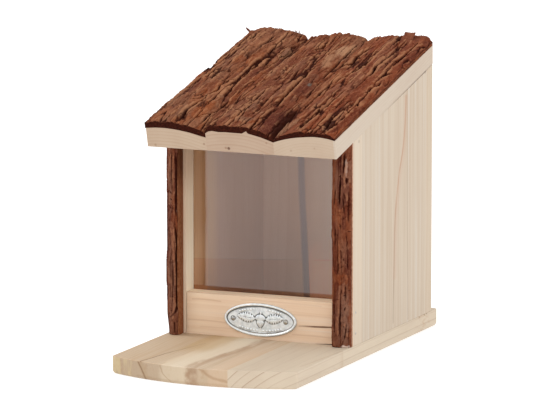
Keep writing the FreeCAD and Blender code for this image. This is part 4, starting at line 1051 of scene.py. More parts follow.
def lid_bark(name, seed, inner):
    """One slab's bark. inner: which sides meet a neighbour, (left, right)."""
    d = SLABS[name]
    x0f, x1f, x0r, x1r = d["wf"][0][0], d["wf"][-1][0], d["wr"][0][0], d["wr"][-1][0]
    nx, ns = int(round((x1f - x0f) / 0.42)) + 1, 380
    u = np.linspace(0, 1, nx)[:, None] * np.ones((1, ns))
    f = np.ones((nx, 1)) * np.linspace(0, 1, ns)[None, :]
    s = f * (REAR_S + 0.2444 * 22.0)
    k = s / REAR_S
    x = (x0f * (1 - k) + x0r * k) * (1 - u) + (x1f * (1 - k) + x1r * k) * u
    wood = lerp_profile(d["wf"], d["wr"], x, s)
    top = blur(lerp_profile(d["bf"], d["br"], x, s), 5, 2)
    r = Relief(x, s, seed)
    box = (x0f, x1f, 0, REAR_S)
    r.fibres()
    for n, item in enumerate(FLAKES[name]):
        r.flake(*item[:7], seed + 300 + n, item[7], item[8])
    r.scatter(box, 20, 12, 0, (12, 38))
    r.tracks(12.0, box, wander=3.2, lengths=(35, 130), w=(0.7, 1.35), d=(1.5, 3.2))
    r.scatter(box, 22, 16, 20, (4.5, 15))
    for n, (w, dd, path) in enumerate(CRACKS[name]):
        r.crack(w * 1.22, dd * 1.1, path, seed + 400 + n, lip=0.40, rough=0.6)
    for n, (kind, cx, cs, rx, rs, power) in enumerate(PATCHES[name]):
        r.patch(kind, cx, cs, rx, rs, power, seed + 500 + n)
    r.h += 0.9 * fbm(x / 3.0, s / 9.0, seed + 60, 3) * ease(REAR_S - 26, REAR_S - 5, s)
    h = np.clip(r.h, -4.4, 2.8)
    left, right = (x - x[0:1]), (x[-1:] - x)
    fall = np.ones_like(x)
    # half way up the slope the bark of two slabs closes over the joint between them
    meet = ease(52, 84, s) * ease(158, 128, s)
    meet2 = ease(40, 70, s + 6 * fbm(x / 9.0, s / 9.0, seed + 67, 2)) * ease(REAR_S + 1, REAR_S - 9, s)
    wide = 3.6 * (1 + 0.7 * grad(s / 14.0, 0 * s + 0.5, seed + 66))
    if inner[0]:
        fall_left = sat(left / wide + 0.04) ** 0.55
        fall *= fall_left + (1 - fall_left) * 0.85 * (meet if name == "middle" else meet2)
    if inner[1]:
        fall_right = sat(right / wide + 0.04) ** 0.55
        fall *= fall_right + (1 - fall_right) * 0.85 * (meet if name == "left" else meet2)
    if name == "left":
        top = top + 4.0 * meet * ease(9.0, 0.0, right)
    if name == "middle":
        top = top + 1.8 * meet * ease(7.0, 0.0, left) + 1.2 * meet2 * ease(6.0, 0.0, right)
    if name == "right":
        top = top + 3.0 * meet2 * ease(9.0, 0.0, left)
        top = top - (1.3 + 1.2 * s / REAR_S) * ease(5.0, 0.0, right)
    rim = sat(left / 1.2 + 0.45) * sat(right / 1.2 + 0.45)
    h = h * (0.35 + 0.65 * rim)
    thick = (top - wood) * (0.22 + 0.78 * fall) + 0.7 + h
    thick = np.maximum(thick, 0.7 + 0.4 * sat(h + 2))
    t = wood + thick
    deep = sat(np.maximum(r.deep, 1.1 * (1 - fall) ** 1.2))
    cav = r.cavity()
    gx = np.gradient(t, axis=0) / 0.42
    shift = np.clip(-0.30 * blur(gx, 1, 1), -0.6, 0.6) * sat(left / 2.5) * sat(right / 2.5)
    xx = x + shift
    if not inner[0]:
        xx = xx - sat(1 - left / 5.0) * (0.2 + 1.1 * fbm(s / 11.0, 0 * s + 0.5, seed + 61, 3) + 0.5 * fbm(s / 2.6, t / 2.0, seed + 62, 2))
    if not inner[1]:
        xx = xx + sat(1 - right / 4.0) * (0.45 * fbm(s / 9.0, 0 * s + 0.5, seed + 63, 3) - 0.15)
    ss = f * (REAR_S + 0.2444 * t)
    ss = ss - ease(5.0, 0.0, s) * (0.5 * fbm(x / 6.0, 0 * x + 0.5, seed + 64, 3) + 0.35 * fbm(x / 1.8, 0 * x + 2.5, seed + 65, 2))
    pts = EAVE + xx[..., None] * ACROSS + ss[..., None] * ALONG + t[..., None] * UP
    verts = [pts.reshape(-1, 3)]
    rows_of = {"cav": [cav.ravel()], "pid": [r.tone.ravel()], "cut": [np.zeros(cav.size)], "deep": [deep.ravel()]}
    for key, m in r.maps.items():
        rows_of[key] = [m.ravel()]
    faces = [grid_quads(nx, ns, 0, False)]
    # the sawn rim: rows down from the edge of the top to the wood
    edge = np.concatenate([np.stack([np.arange(nx), 0 * np.arange(nx)], 1),
                           np.stack([np.full(ns - 1, nx - 1), np.arange(1, ns)], 1),
                           np.stack([np.arange(nx - 2, -1, -1), np.full(nx - 1, ns - 1)], 1),
                           np.stack([np.zeros(ns - 2, int), np.arange(ns - 2, 0, -1)], 1)])
    ei, ej = edge[:, 0], edge[:, 1]
    n = len(edge)
    rows = 7
    ring_before = ei * ns + ej
    count = nx * ns
    tt, ww, xe, fe, se = t[ei, ej], wood[ei, ej] - 0.25, xx[ei, ej], f[ei, ej], ss[ei, ej]
    over = se - fe * (REAR_S + 0.2444 * tt)
    on_front, on_rear = ej == 0, ej == ns - 1
    on_left, on_right = (ei == 0) & ~on_front & ~on_rear, (ei == nx - 1) & ~on_front & ~on_rear
    around = np.cumsum(np.r_[0, np.hypot(np.diff(xe), np.diff(fe * REAR_S))])
    for row in range(1, rows + 1):
        k = row / rows
        tr = tt * (1 - k) + ww * k
        out = 0.26 * fbm(around / 2.4, np.full(n, row * 0.6), seed + 50, 3) * (1 - k ** 4)
        fold = 0.35 * fbm(around / 9.0, np.full(n, row * 0.35), seed + 51, 2) * (1 - k ** 4)
        out = out + fold + 0.10 * (1 - k)
        xr = xe + np.where(on_left, -out, 0) + np.where(on_right, out, 0)
        sr = fe * (REAR_S + 0.2444 * tr) + np.where(on_front, over * (1 - k) ** 1.5 - out, 0)
        if row == rows:
            sr = sr + np.where(on_front, 0.15, 0)
            xr = xr + np.where(on_left, 0.15, 0) + np.where(on_right, -0.15, 0)
        v = EAVE + xr[:, None] * ACROSS + sr[:, None] * ALONG + tr[:, None] * UP
        verts.append(v)
        for key, arr in rows_of.items():
            if key == "cav":
                arr.append(np.full(n, 0.5) + 0.3 * fbm(around / 1.5, np.full(n, row * 1.0), seed + 52, 2))
            elif key == "pid":
                arr.append(np.full(n, 0.4))
            elif key == "cut":
                arr.append(np.where(on_front, 1.0, 2.0))
            else:
                arr.append(np.zeros(n))
        ids = np.arange(n) + count
        nxt = np.roll(np.arange(n), -1)
        faces.append(np.stack([ring_before, ring_before[nxt], ids[nxt], ids], 1))
        ring_before = ids
        count += n
    # underside, hidden on the wood: a spine joined to the lowest ring
    m = 24
    fs = np.linspace(0.012, 0.988, m)
    xm = np.array([(x0f + x1f) / 2 * (1 - q) + (x0r + x1r) / 2 * q for q in fs])
    wm = lerp_profile(d["wf"], d["wr"], xm, fs * REAR_S) - 1.5
    verts.append(EAVE + xm[:, None] * ACROSS + (fs * REAR_S)[:, None] * ALONG + wm[:, None] * UP)
    for key, arr in rows_of.items():
        arr.append(np.full(m, {"cav": 0.5, "pid": 0.5, "cut": 2.0}.get(key, 0.0)))
    spine = np.arange(m) + count
    low = ring_before
    front_ids = low[:nx]
    right_ids = low[nx - 1:nx + ns - 1]
    rear_ids = low[nx + ns - 2:nx + ns - 2 + nx]
    left_ids = np.r_[low[nx + ns - 2 + nx - 1:], low[0]]
    tris = []
    tris += [(front_ids[i], front_ids[i + 1], spine[0]) for i in range(nx - 1)]
    tris += [(rear_ids[i], rear_ids[i + 1], spine[-1]) for i in range(nx - 1)]
    tris += stitch(list(right_ids), list(spine), list(f[nx - 1, :]), list(fs))
    tris += stitch(list(left_ids[::-1]), list(spine), list(f[0, :]), list(fs))
    all_faces = [tuple(q) for block in faces for q in block] + tris
    obj = new_mesh("lid_bark_sheet_" + name, np.concatenate(verts), all_faces, MATS["bark_lid"],
                   {key: np.concatenate(arr) for key, arr in rows_of.items()})
    right_way(obj)

    def height(px, ps):
        """Top of the bark at (x, s)."""
        fj = np.clip(ps / (REAR_S + 0.2444 * 22.0), 0, 1) * (ns - 1)
        j = int(fj)
        return float(np.interp(px, x[:, j], t[:, j]))
    return obj, height


MATS["bark_lid"] = bark_material("bark_lid", EAVE, (ACROSS, ALONG, UP), seed=3, gain=(0.76, 0.655, 0.55), fleck=(19.3, 113.0),
                                 pale_tone=(206, 166, 136))
MATS["bark_strip"] = bark_material("bark_strip", (0, 0, 0), (X, Z, Y), seed=8, gain=(0.62, 0.49, 0.43),
                                   side_tones=((196, 154, 124), (255, 234, 212)), pale_tone=(255, 250, 244), across=0.40,
                                   left_side=(0.51, 0.33, 0.22), grey_tone=(150, 124, 110))

HEIGHT = {}
for name, seed, inner in (("left", 211, (False, True)), ("middle", 347, (True, True)), ("right", 593, (True, False))):
    obj, HEIGHT[name] = lid_bark(name, seed, inner)
    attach(obj, "lid")
    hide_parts("lid_bark_" + name)


def lid_point(x, s, t):
    return EAVE + x * ACROSS + s * ALONG + t * UP


def tapered(points, radii, sides=6, flat=1.0, up=(0, 0, 1)):
    """Vertices and faces of a closed tapering strand along points. flat squashes it along up."""
    pts = np.array(points, float)
    tan = np.gradient(pts, axis=0)
    tan /= np.linalg.norm(tan, axis=1)[:, None]
    upv = np.array(up, float)
    verts, faces = [], []
    for i, (p, tg, rad) in enumerate(zip(pts, tan, radii)):
        side = np.cross(tg, upv)
        side /= np.linalg.norm(side)
        top = np.cross(side, tg)
        for k in range(sides):
            a = 2 * math.pi * k / sides
            verts.append(p + rad * (math.cos(a) * side + flat * math.sin(a) * top))
    n = len(pts)
    for i in range(n - 1):
        for k in range(sides):
            a, b = i * sides + k, i * sides + (k + 1) % sides
            faces.append((a, b, b + sides, a + sides))
    faces.append(tuple(range(sides))[::-1])
    faces.append(tuple((n - 1) * sides + k for k in range(sides)))
    return verts, faces


def strand_mesh(name, strands, material, attrs):
    verts, faces = [], []
    for v, f in strands:
        base = len(verts)
        verts += list(v)
        faces += [tuple(base + i for i in q) for q in f]
    n = len(verts)
    obj = new_mesh(name, verts, faces, material, {k: np.full(n, v) for k, v in attrs.items()})
    return right_way(obj)


# pale torn fibres in the front of the right valley
rnd = np.random.default_rng(41)
strands = []
for _ in range(34):
    s0 = rnd.uniform(-0.5, 24)
    x0 = 36.2 + 0.20 * s0 + rnd.normal(0, 1.7)
    length = rnd.uniform(5, 15)
    side = "right" if x0 > 31 else "middle"
    pts, drift = [], rnd.normal(0.16, 0.07)
    lift0, lift1 = rnd.uniform(0.0, 0.5), rnd.uniform(0.2, 1.6)
    for q in np.linspace(0, 1, 7):
        xx, ss = x0 + drift * length * q + 0.5 * math.sin(4 * q + s0), s0 + length * q
        pts.append(lid_point(xx, ss, HEIGHT[side](xx, ss) + 0.15 + lift0 + lift1 * q * q))
    strands.append(tapered(pts, 0.60 * np.array([0.75, 1.0, 1.0, 0.95, 0.8, 0.55, 0.2]), 5, 0.55, UP))
fibres = strand_mesh("lid_bark_fibres", strands, MATS["bark_lid"],
                     {"cav": 0.55, "pid": 0.75, "cut": 0, "deep": 0, "warm": 0, "grey": 1.0, "dim": 0, "pale": 0.40})
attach(fibres, "lid")

# short torn fibres at the rear corner between the left and middle slabs
rnd = np.random.default_rng(57)
strands = []
for _ in range(16):
    x0, s0 = rnd.uniform(-49, -38), REAR_S + rnd.uniform(-5.0, 1.5)
    length, lean, rise = rnd.uniform(3.0, 6.5), rnd.normal(0.15, 0.45), rnd.uniform(0.25, 0.8)
    base = HEIGHT["left"](x0, s0) - 0.5
    pts = [lid_point(x0 + lean * length * q, s0 + length * q * 0.8, base + rise * length * q + 0.4 * q * q) for q in np.linspace(0, 1, 6)]
    strands.append(tapered(pts, 0.48 * np.array([1.0, 1.0, 0.9, 0.75, 0.5, 0.18]), 5, 0.7, UP))
ragged = strand_mesh("lid_bark_ragged", strands, MATS["bark_lid"],
                     {"cav": 0.5, "pid": 0.6, "cut": 0, "deep": 0, "warm": 0, "grey": 0.3, "dim": 0.4, "pale": 0})
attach(ragged, "lid")

# a splinter that stands out at the rear left corner
pts = [np.array(p, float) for p in ((-86.0, 154.5, 262.2), (-89.5, 155.2, 263.6), (-92.6, 155.8, 265.2), (-95.2, 156.1, 267.2),
                                    (-96.6, 156.3, 268.3), (-97.3, 156.4, 268.9))]
splinter = strand_mesh("lid_bark_splinter", [tapered(pts, (1.5, 1.5, 1.35, 1.15, 0.95, 0.6), 6, 0.7, (0, 1, 0.2))],
                       MATS["bark_lid"], {"cav": 0.5, "pid": 0.5, "cut": 0, "deep": 0, "warm": 0.0, "grey": 0.2, "dim": 0.9, "pale": 0})
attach(splinter, "lid")


def lifted_flake(name, cx, cs, half_w, half_l, base, rise, thick, turn, seed, attrs, curl=1.2):
    """A thin plate of bark that stands off the slab, its rear end raised. (cx, cs) is its middle, base its lowest point over the wood's plane."""
    nu, nv = 22, 30
    u, v = np.meshgrid(np.linspace(-1, 1, nu), np.linspace(-1, 1, nv), indexing="ij")
    wob_u = 1 + 0.13 * fbm(v * 2.2, 0 * v + 0.4, seed, 3) * np.abs(u)
    wob_v = 1 + 0.16 * fbm(u * 2.6, 0 * u + 4.1, seed + 1, 3) * np.abs(v)
    lx, ls = u * half_w * wob_u, v * half_l * wob_v
    ca, sa = math.cos(turn), math.sin(turn)
    px, ps = cx + lx * ca - ls * sa, cs + lx * sa + ls * ca
    lift = base + rise * ((v + 1) / 2) ** 1.5 + curl * 0.25 * u * u * (v + 1) + 0.30 * fbm(lx / 1.3, ls / 7.0, seed + 2, 3)
    thin = thick * (1 - 0.55 * np.maximum(np.abs(u), np.abs(v)) ** 4) + 0.18 * fbm(lx / 2.0, ls / 5.0, seed + 3, 2)
    topv = EAVE + px[..., None] * ACROSS + ps[..., None] * ALONG + (lift + thin / 2)[..., None] * UP
    lowv = EAVE + px[..., None] * ACROSS + ps[..., None] * ALONG + (lift - thin / 2)[..., None] * UP
    n = nu * nv
    faces = list(map(tuple, grid_quads(nu, nv, 0))) + list(map(tuple, grid_quads(nu, nv, n, True)))
    ring = [i * nv for i in range(nu)] + [(nu - 1) * nv + j for j in range(1, nv)] + \
           [i * nv + nv - 1 for i in range(nu - 2, -1, -1)] + [j for j in range(nv - 2, 0, -1)]
    for a, b in zip(ring, ring[1:] + ring[:1]):
        faces.append((a, b, b + n, a + n))
    obj = new_mesh(name, np.concatenate([topv.reshape(-1, 3), lowv.reshape(-1, 3)]), faces, MATS["bark_lid"],
                   {k: np.full(2 * n, val) for k, val in attrs.items()})
    right_way(obj)
    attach(obj, "lid")
    return obj


PLAIN = {"cav": 0.55, "pid": 0.5, "cut": 0, "deep": 0, "warm": 0, "grey": 0, "dim": 0, "pale": 0}
lifted_flake("lid_bark_flake_rear", 69.4, 226.0, 4.9, 9.5, 23.6, 4.6, 1.6, 0.05, 71, {**PLAIN, "dim": 0.35, "grey": 0.25})
lifted_flake("lid_bark_flake_chip", -37.4, 190.5, 2.2, 8.0, 19.6, 0.9, 1.3, 0.03, 72, {**PLAIN, "grey": 0.8}, curl=0.4)
lifted_flake("lid_bark_flake_left", -76.0, 100.0, 2.6, 10.0, HEIGHT["left"](-76.0, 100.0) + 0.1, 0.8, 1.0, -0.04, 73,
             {**PLAIN, "grey": 0.4}, curl=0.5)
lifted_flake("lid_bark_flake_mid", -14.0, 142.0, 3.0, 7.0, HEIGHT["middle"](-14.0, 142.0) + 0.2, 0.7, 1.1, 0.08, 74,
             {**PLAIN, "warm": 0.2}, curl=0.6)


# ------------------------------------------------------------------ bark strips on the front edges of the side panels
STRIPS = {
    "right": dict(
        outline=[(72.5, -30.02), (72.5, -37.3), (73.4, -38.1), (75.5, -38.7), (79.2, -39.0), (82.0, -38.5), (86.0, -36.9),
                 (88.7, -34.6), (89.6, -33.0), (89.6, -30.02)],
        cracks=[(0.8, 1.0, [(79.8, 186.3), (79.3, 175.5), (78.9, 166.6)]), (1.0, 1.6, [(84.5, 191.9), (84.1, 180.3), (83.2, 170.4)]),
                (1.1, 1.8, [(80.8, 166.7), (80.3, 157.7), (79.8, 151.5), (80.3, 143.4)]),
                (0.7, 1.2, [(82.7, 152.5), (83.7, 142.8), (84.2, 136.5)]), (0.9, 1.2, [(76.5, 159.3), (75.1, 150.2), (74.6, 143.0)]),
                (1.3, 1.4, [(80.4, 128.2), (80.8, 122.9)]), (1.2, 1.2, [(75.6, 125.2), (76.6, 114.5), (75.6, 106.4)]),
                (0.9, 1.5, [(81.9, 74.5), (81.5, 59.2), (80.6, 41.1), (81.1, 20.4)]), (0.9, 1.4, [(85.3, 73.8), (85.4, 58.5)]),
                (0.8, 1.2, [(86.4, 39.7), (84.5, 22.4)]), (0.7, 0.9, [(74.8, 58.6), (75.3, 40.7), (75.8, 26.3)]),
                (1.3, 1.4, [(83.3, 97.9), (84.3, 92.6)]), (0.8, 1.2, [(78.0, 120.0), (78.5, 107.5), (79.0, 93.1), (78.6, 80.5)]),
                (0.8, 1.1, [(87.5, 160.0), (88.0, 144.9), (87.6, 126.9)]), (0.7, 1.0, [(86.2, 120.6), (86.7, 104.5), (87.2, 84.8)]),
                (1.9, 3.4, [(85.9, 170.0), (85.9, 162.5)]), (1.2, -1.1, [(86.6, 187.5), (85.5, 178.6), (84.9, 171.8)])],
        patches=[("grey", 84.9, 43.2, 4.0, 30, 0.95), ("pale", 85.0, 16.8, 3.6, 1.6, 1.4), ("dim", 76.6, 118, 3.5, 16, 0.7),
                 # the dim patch at x 80.8, z 182 paints the lid's shadow near the top of the strip
                 ("dim", 80.8, 182, 3.6, 9, 0.9), ("warm", 74.6, 100, 4.0, 90, 0.45), ("pale", 85.6, 179.0, 0.9, 9, 0.5),
                 ("grey", 84.5, 100, 3.5, 14, 0.35), ("warm", 87.0, 140, 3.5, 30, 0.35)], seed=131),
    "left": dict(
        outline=[(-89.6, -30.02), (-89.2, -35.0), (-87.8, -39.0), (-85.4, -42.5), (-82.0, -44.7), (-78.6, -45.4), (-76.5, -44.9),
                 (-75.0, -43.0), (-74.2, -39.0), (-75.0, -33.4), (-75.8, -30.02)],
        cracks=[(1.6, 2.2, [(-79.0, 184.2), (-78.5, 169.8), (-78.1, 156.2), (-77.8, 147.2), (-78.7, 138.0), (-78.7, 122.6)]),
                (1.4, 2.8, [(-79.7, 120.7), (-79.2, 110.8), (-77.8, 97.2), (-78.4, 83.5), (-77.1, 78.1), (-76.8, 65.4), (-77.1, 51.7),
                            (-78.0, 43.4), (-79.5, 37.8), (-82.0, 34.4), (-85.0, 31.9)]),
                (0.6, 0.9, [(-84.3, 90.4), (-84.4, 46.6)]), (0.7, 1.0, [(-81.8, 81.4), (-82.2, 37.6)]),
                (0.7, 1.1, [(-80.5, 105.2), (-79.4, 81.6)]), (0.9, 1.5, [(-86.2, 147.5), (-82.9, 144.1)]),
                (0.9, 1.4, [(-85.3, 141.2), (-82.1, 137.8)]), (0.9, 1.4, [(-86.6, 134.8), (-83.9, 130.4)]),
                (0.7, 1.1, [(-76.1, 169.2), (-75.9, 151.1)]), (0.8, 1.3, [(-81.0, 29.4), (-80.6, 16.7)]),
                (0.8, 1.2, [(-77.2, 26.2), (-76.4, 16.2)]), (0.8, 1.2, [(-82.4, 183.1), (-83.0, 160.4), (-82.3, 150.5)]),
                (0.7, 1.0, [(-85.2, 117.6), (-84.7, 95.8)]), (0.7, 1.0, [(-76.6, 118.3), (-76.4, 81.9), (-76.2, 47.3)])],
        patches=[("dim", -78.3, 156, 2.6, 36, 1.0), ("grey", -83.4, 64.9, 4.6, 34, 0.75), ("warm", -76.2, 100, 2.0, 95, 0.60),
                 ("pale", -76.0, 130.5, 0.9, 5, 0.55), ("dim", -87.8, 110, 2.4, 110, 0.9), ("grey", -84.8, 150, 2.2, 40, 0.7), ("dim", -87.4, 26, 2.8, 12, 0.9), ("grey", -85.0, 165, 4.0, 22, 0.6),
                 ("dim", -89.4, 100, 1.3, 110, 0.9), ("warm", -80.5, 23, 3.0, 8, 0.5)], seed=77),
}


# marks of the left strip are laid out as seen from the front right; this carries them onto its rounded front
SEEN, ROUND = (-89.6, -87.8, -84.0, -81.0, -78.0, -76.2, -75.8), (-88.6, -85.4, -81.0, -78.1, -75.3, -74.5, -74.3)
LEFT = STRIPS["left"]
LEFT["cracks"] = [(w, d, [(float(np.interp(x, SEEN, ROUND)), z) for x, z in path]) for w, d, path in LEFT["cracks"]]
LEFT["patches"] = [(k, float(np.interp(x, SEEN, ROUND)), z, rx, rz, power) for k, x, z, rx, rz, power in LEFT["patches"]]


def bark_strip(side, z0=16.3, back_y=-30.02):
    """outline: (x, y) from the left back corner round the front to the right back corner."""
    d = STRIPS[side]
    seed = d["seed"]
    path = np.array(d["outline"], float)
    seg = np.hypot(*np.diff(path, axis=0).T)
    at = np.r_[0, np.cumsum(seg)]
    nu = int(round(at[-1] / 0.36)) + 1
    a = np.linspace(0, at[-1], nu)
    bx, by = np.interp(a, at, path[:, 0]), np.interp(a, at, path[:, 1])
    for _ in range(3):
        bx[1:-1] = (bx[:-2] + 2 * bx[1:-1] + bx[2:]) / 4
        by[1:-1] = (by[:-2] + 2 * by[1:-1] + by[2:]) / 4
    tx, ty = np.gradient(bx), np.gradient(by)
    length = np.hypot(tx, ty)
    nxv, nyv = ty / length, -tx / length
    nz = 400
    f = np.linspace(0, 1, nz)
    ff = np.ones((nu, 1)) * f[None, :]
    ztop = seam_z(by) - 0.35
    z = z0 + (ztop[:, None] - z0) * ff
    gx = bx[:, None] * np.ones((1, nz))
    front = np.clip((-nyv[:, None] - 0.25) / 0.35, 0, 1) * np.ones((1, nz))
    r = Relief(gx + 0 * z, z, seed, front)
    # the side faces are sawn flat, so the relief there runs on from the front's edges
    aa = a[:, None] * np.ones((1, nz))
    wa = aa + 0.8 * fbm(aa / 10.0, z / 40.0, seed + 31, 2)
    r.h += 0.45 * fbm(aa / 12.0, z / 70.0, seed + 32, 3) + 0.20 * fbm(wa / 1.2, z / 18.0, seed + 33, 3) + 0.10 * fbm(aa / 0.9, z / 2.4, seed + 35, 2)
    box = (bx.min(), bx.max(), z0, float(z.max()))
    r.scatter(box, 22, 18, 26, (5, 20))
    r.tracks(5.4, box, wander=0.9, lengths=(16, 60), w=(0.4, 0.75), d=(0.35, 0.9), gap=(5, 26))
    for n, (w, dd, p) in enumerate(d["cracks"]):
        r.crack(w, dd, p, seed + 400 + n, lip=0.45, rough=0.35)
    for n, (kind, cx, cs, rx, rs, power) in enumerate(d["patches"]):
        r.patch(kind, cx, cs, rx, rs, power, seed + 500 + n)
    edge = sat(aa / 2.0) * sat((at[-1] - aa) / 2.0)
    ends = sat((z - z0) / 3.0 + 0.4)
    keep = 0.22 + 0.78 * front
    h = np.clip(r.h * edge * ends * keep, -3.2, 0.9)
    r.deep *= 0.62
    r.h *= 0.85
    if side == "left":
        r.deep *= front
        h *= 0.35 + 0.65 * front
    px, py = bx[:, None] + nxv[:, None] * h, by[:, None] + nyv[:, None] * h
    if side == "left":
        foot = ease(38.0, 17.0, z)
        px = px + 1.6 * foot * sat((-78.0 - px) / 8.0)
        py = py + 0.5 * foot
    py = np.minimum(py, back_y)
    cav = r.cavity((4, 6), 2.2)
    sawn = np.clip(1.2 - np.abs(nyv[:, None]) * 3.0, 0, 1) * np.ones((1, nz))
    if side == "left":
        cav = 0.5 + (cav - 0.5) * front
        sawn = 1.0 - np.clip((-nyv[:, None] - 0.42) / 0.20, 0, 1) * np.ones((1, nz))
    verts = [np.stack([px, py, z], -1).reshape(-1, 3)]
    faces = [grid_quads(nu, nz, 0)]
    count = nu * nz
    base_ring = np.arange(nu) * nz
    top_ring = np.arange(nu) * nz + nz - 1
    attrs = {"cav": [cav.ravel()], "pid": [r.tone.ravel()], "cut": [2.0 * sawn.ravel()], "deep": [r.deep.ravel()]}
    for key, m in r.maps.items():
        attrs[key] = [m.ravel()]
    mid = np.array([(path[0, 0] + path[-1, 0]) / 2, back_y - 1.5])
    verts.append(np.array([[mid[0], mid[1], z0 + 0.0], [mid[0], mid[1], seam_z(mid[1]) - 0.35]]))
    for k in attrs:
        attrs[k].append(np.full(2, {"cav": 0.5, "pid": 0.5, "cut": 1.0}.get(k, 0.0)))
    tris = [(base_ring[i], base_ring[i + 1], count) for i in range(nu - 1)]
    tris += [(top_ring[i], top_ring[i + 1], count + 1) for i in range(nu - 1)]
    # flat back, on the panel
    left_col, right_col = np.arange(nz), (nu - 1) * nz + np.arange(nz)
    back = [(left_col[j], left_col[j + 1], right_col[j + 1], right_col[j]) for j in range(nz - 1)]
    tris.append((base_ring[0], base_ring[-1], count))
    tris.append((top_ring[0], top_ring[-1], count + 1))
    all_faces = [tuple(q) for q in faces[0]] + back + tris
    obj = new_mesh("bark_strip_%s_skin" % side, np.concatenate(verts), all_faces, MATS["bark_strip"],
                   {k: np.concatenate(v) for k, v in attrs.items()})
    right_way(obj)
    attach(obj, "box")
    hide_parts("bark_strip_" + side)
    return obj


for side in ("left", "right"):
    bark_strip(side)


# ------------------------------------------------------------------ metals
def metal(name, light, dark, rough=0.38, seed=0, grain=(0.6, 0.6, 0.6), spangle=0.25, relief=False):
    g = Graph(name)
    p = g.place()
    blotch = g.noise(g.stretch(p, (0.25, 0.25, 0.25), (seed, 0, 0)), 1.0, 4.0, 0.6)
    fine = g.noise(g.stretch(p, grain, (0, seed, 0)), 3.0, 4.0, 0.65)
    cellsv = g.voronoi(p, 0.35, out="Color")
    col = g.mix(g.range(blotch, 0.35, 0.7), light, dark)
    col = g.mix(spangle * 0.5, col, cellsv, "SOFT_LIGHT")
    col = g.mix(g.mul(g.range(fine, 0.6, 0.8), 0.4), col, dark)
    r = g.range(fine, 0.3, 0.8, rough - 0.08, rough + 0.14, "LINEAR")
    full = 1.0
    if relief:
        # patina left in the recesses of the casting, with painted shade under the rim's upper lip and along its outer
        # edge at the bottom; the high parts rubbed bright, and a painted highlight on the rim, which is also smoother
        cav, rim = g.attr("cav"), g.attr("rim")
        col = g.mix(g.range(cav, 0.47, 0.26, 0.0, 0.94), col, srgb(84, 85, 84))
        col = g.mix(g.range(cav, 0.56, 0.85, 0.0, 0.75), col, srgb(250, 252, 252))
        col = g.mix(g.mul(rim, 0.75), col, srgb(252, 253, 252))
        r = g.mix(rim, r, (0.26, 0.26, 0.26, 1))
        full = 0.72
    n = g.bump(g.add(g.mul(fine, 0.6), g.mul(blotch, 0.4)), 0.35, 0.00012)
    g.principled(col, r, n, Metallic=full)
    return g.mat


MATS["zinc"] = metal("zinc_cast", srgb(241, 247, 250), srgb(210, 217, 222), rough=0.40, seed=2, spangle=0.12, relief=True)
MATS["steel"] = metal("zinc_plated_steel", srgb(198, 198, 200), srgb(150, 150, 152), rough=0.34, seed=5, grain=(0.3, 0.3, 3.0))
MATS["pin"] = metal("plate_pin_metal", srgb(200, 196, 188), srgb(140, 136, 128), rough=0.30, seed=9)


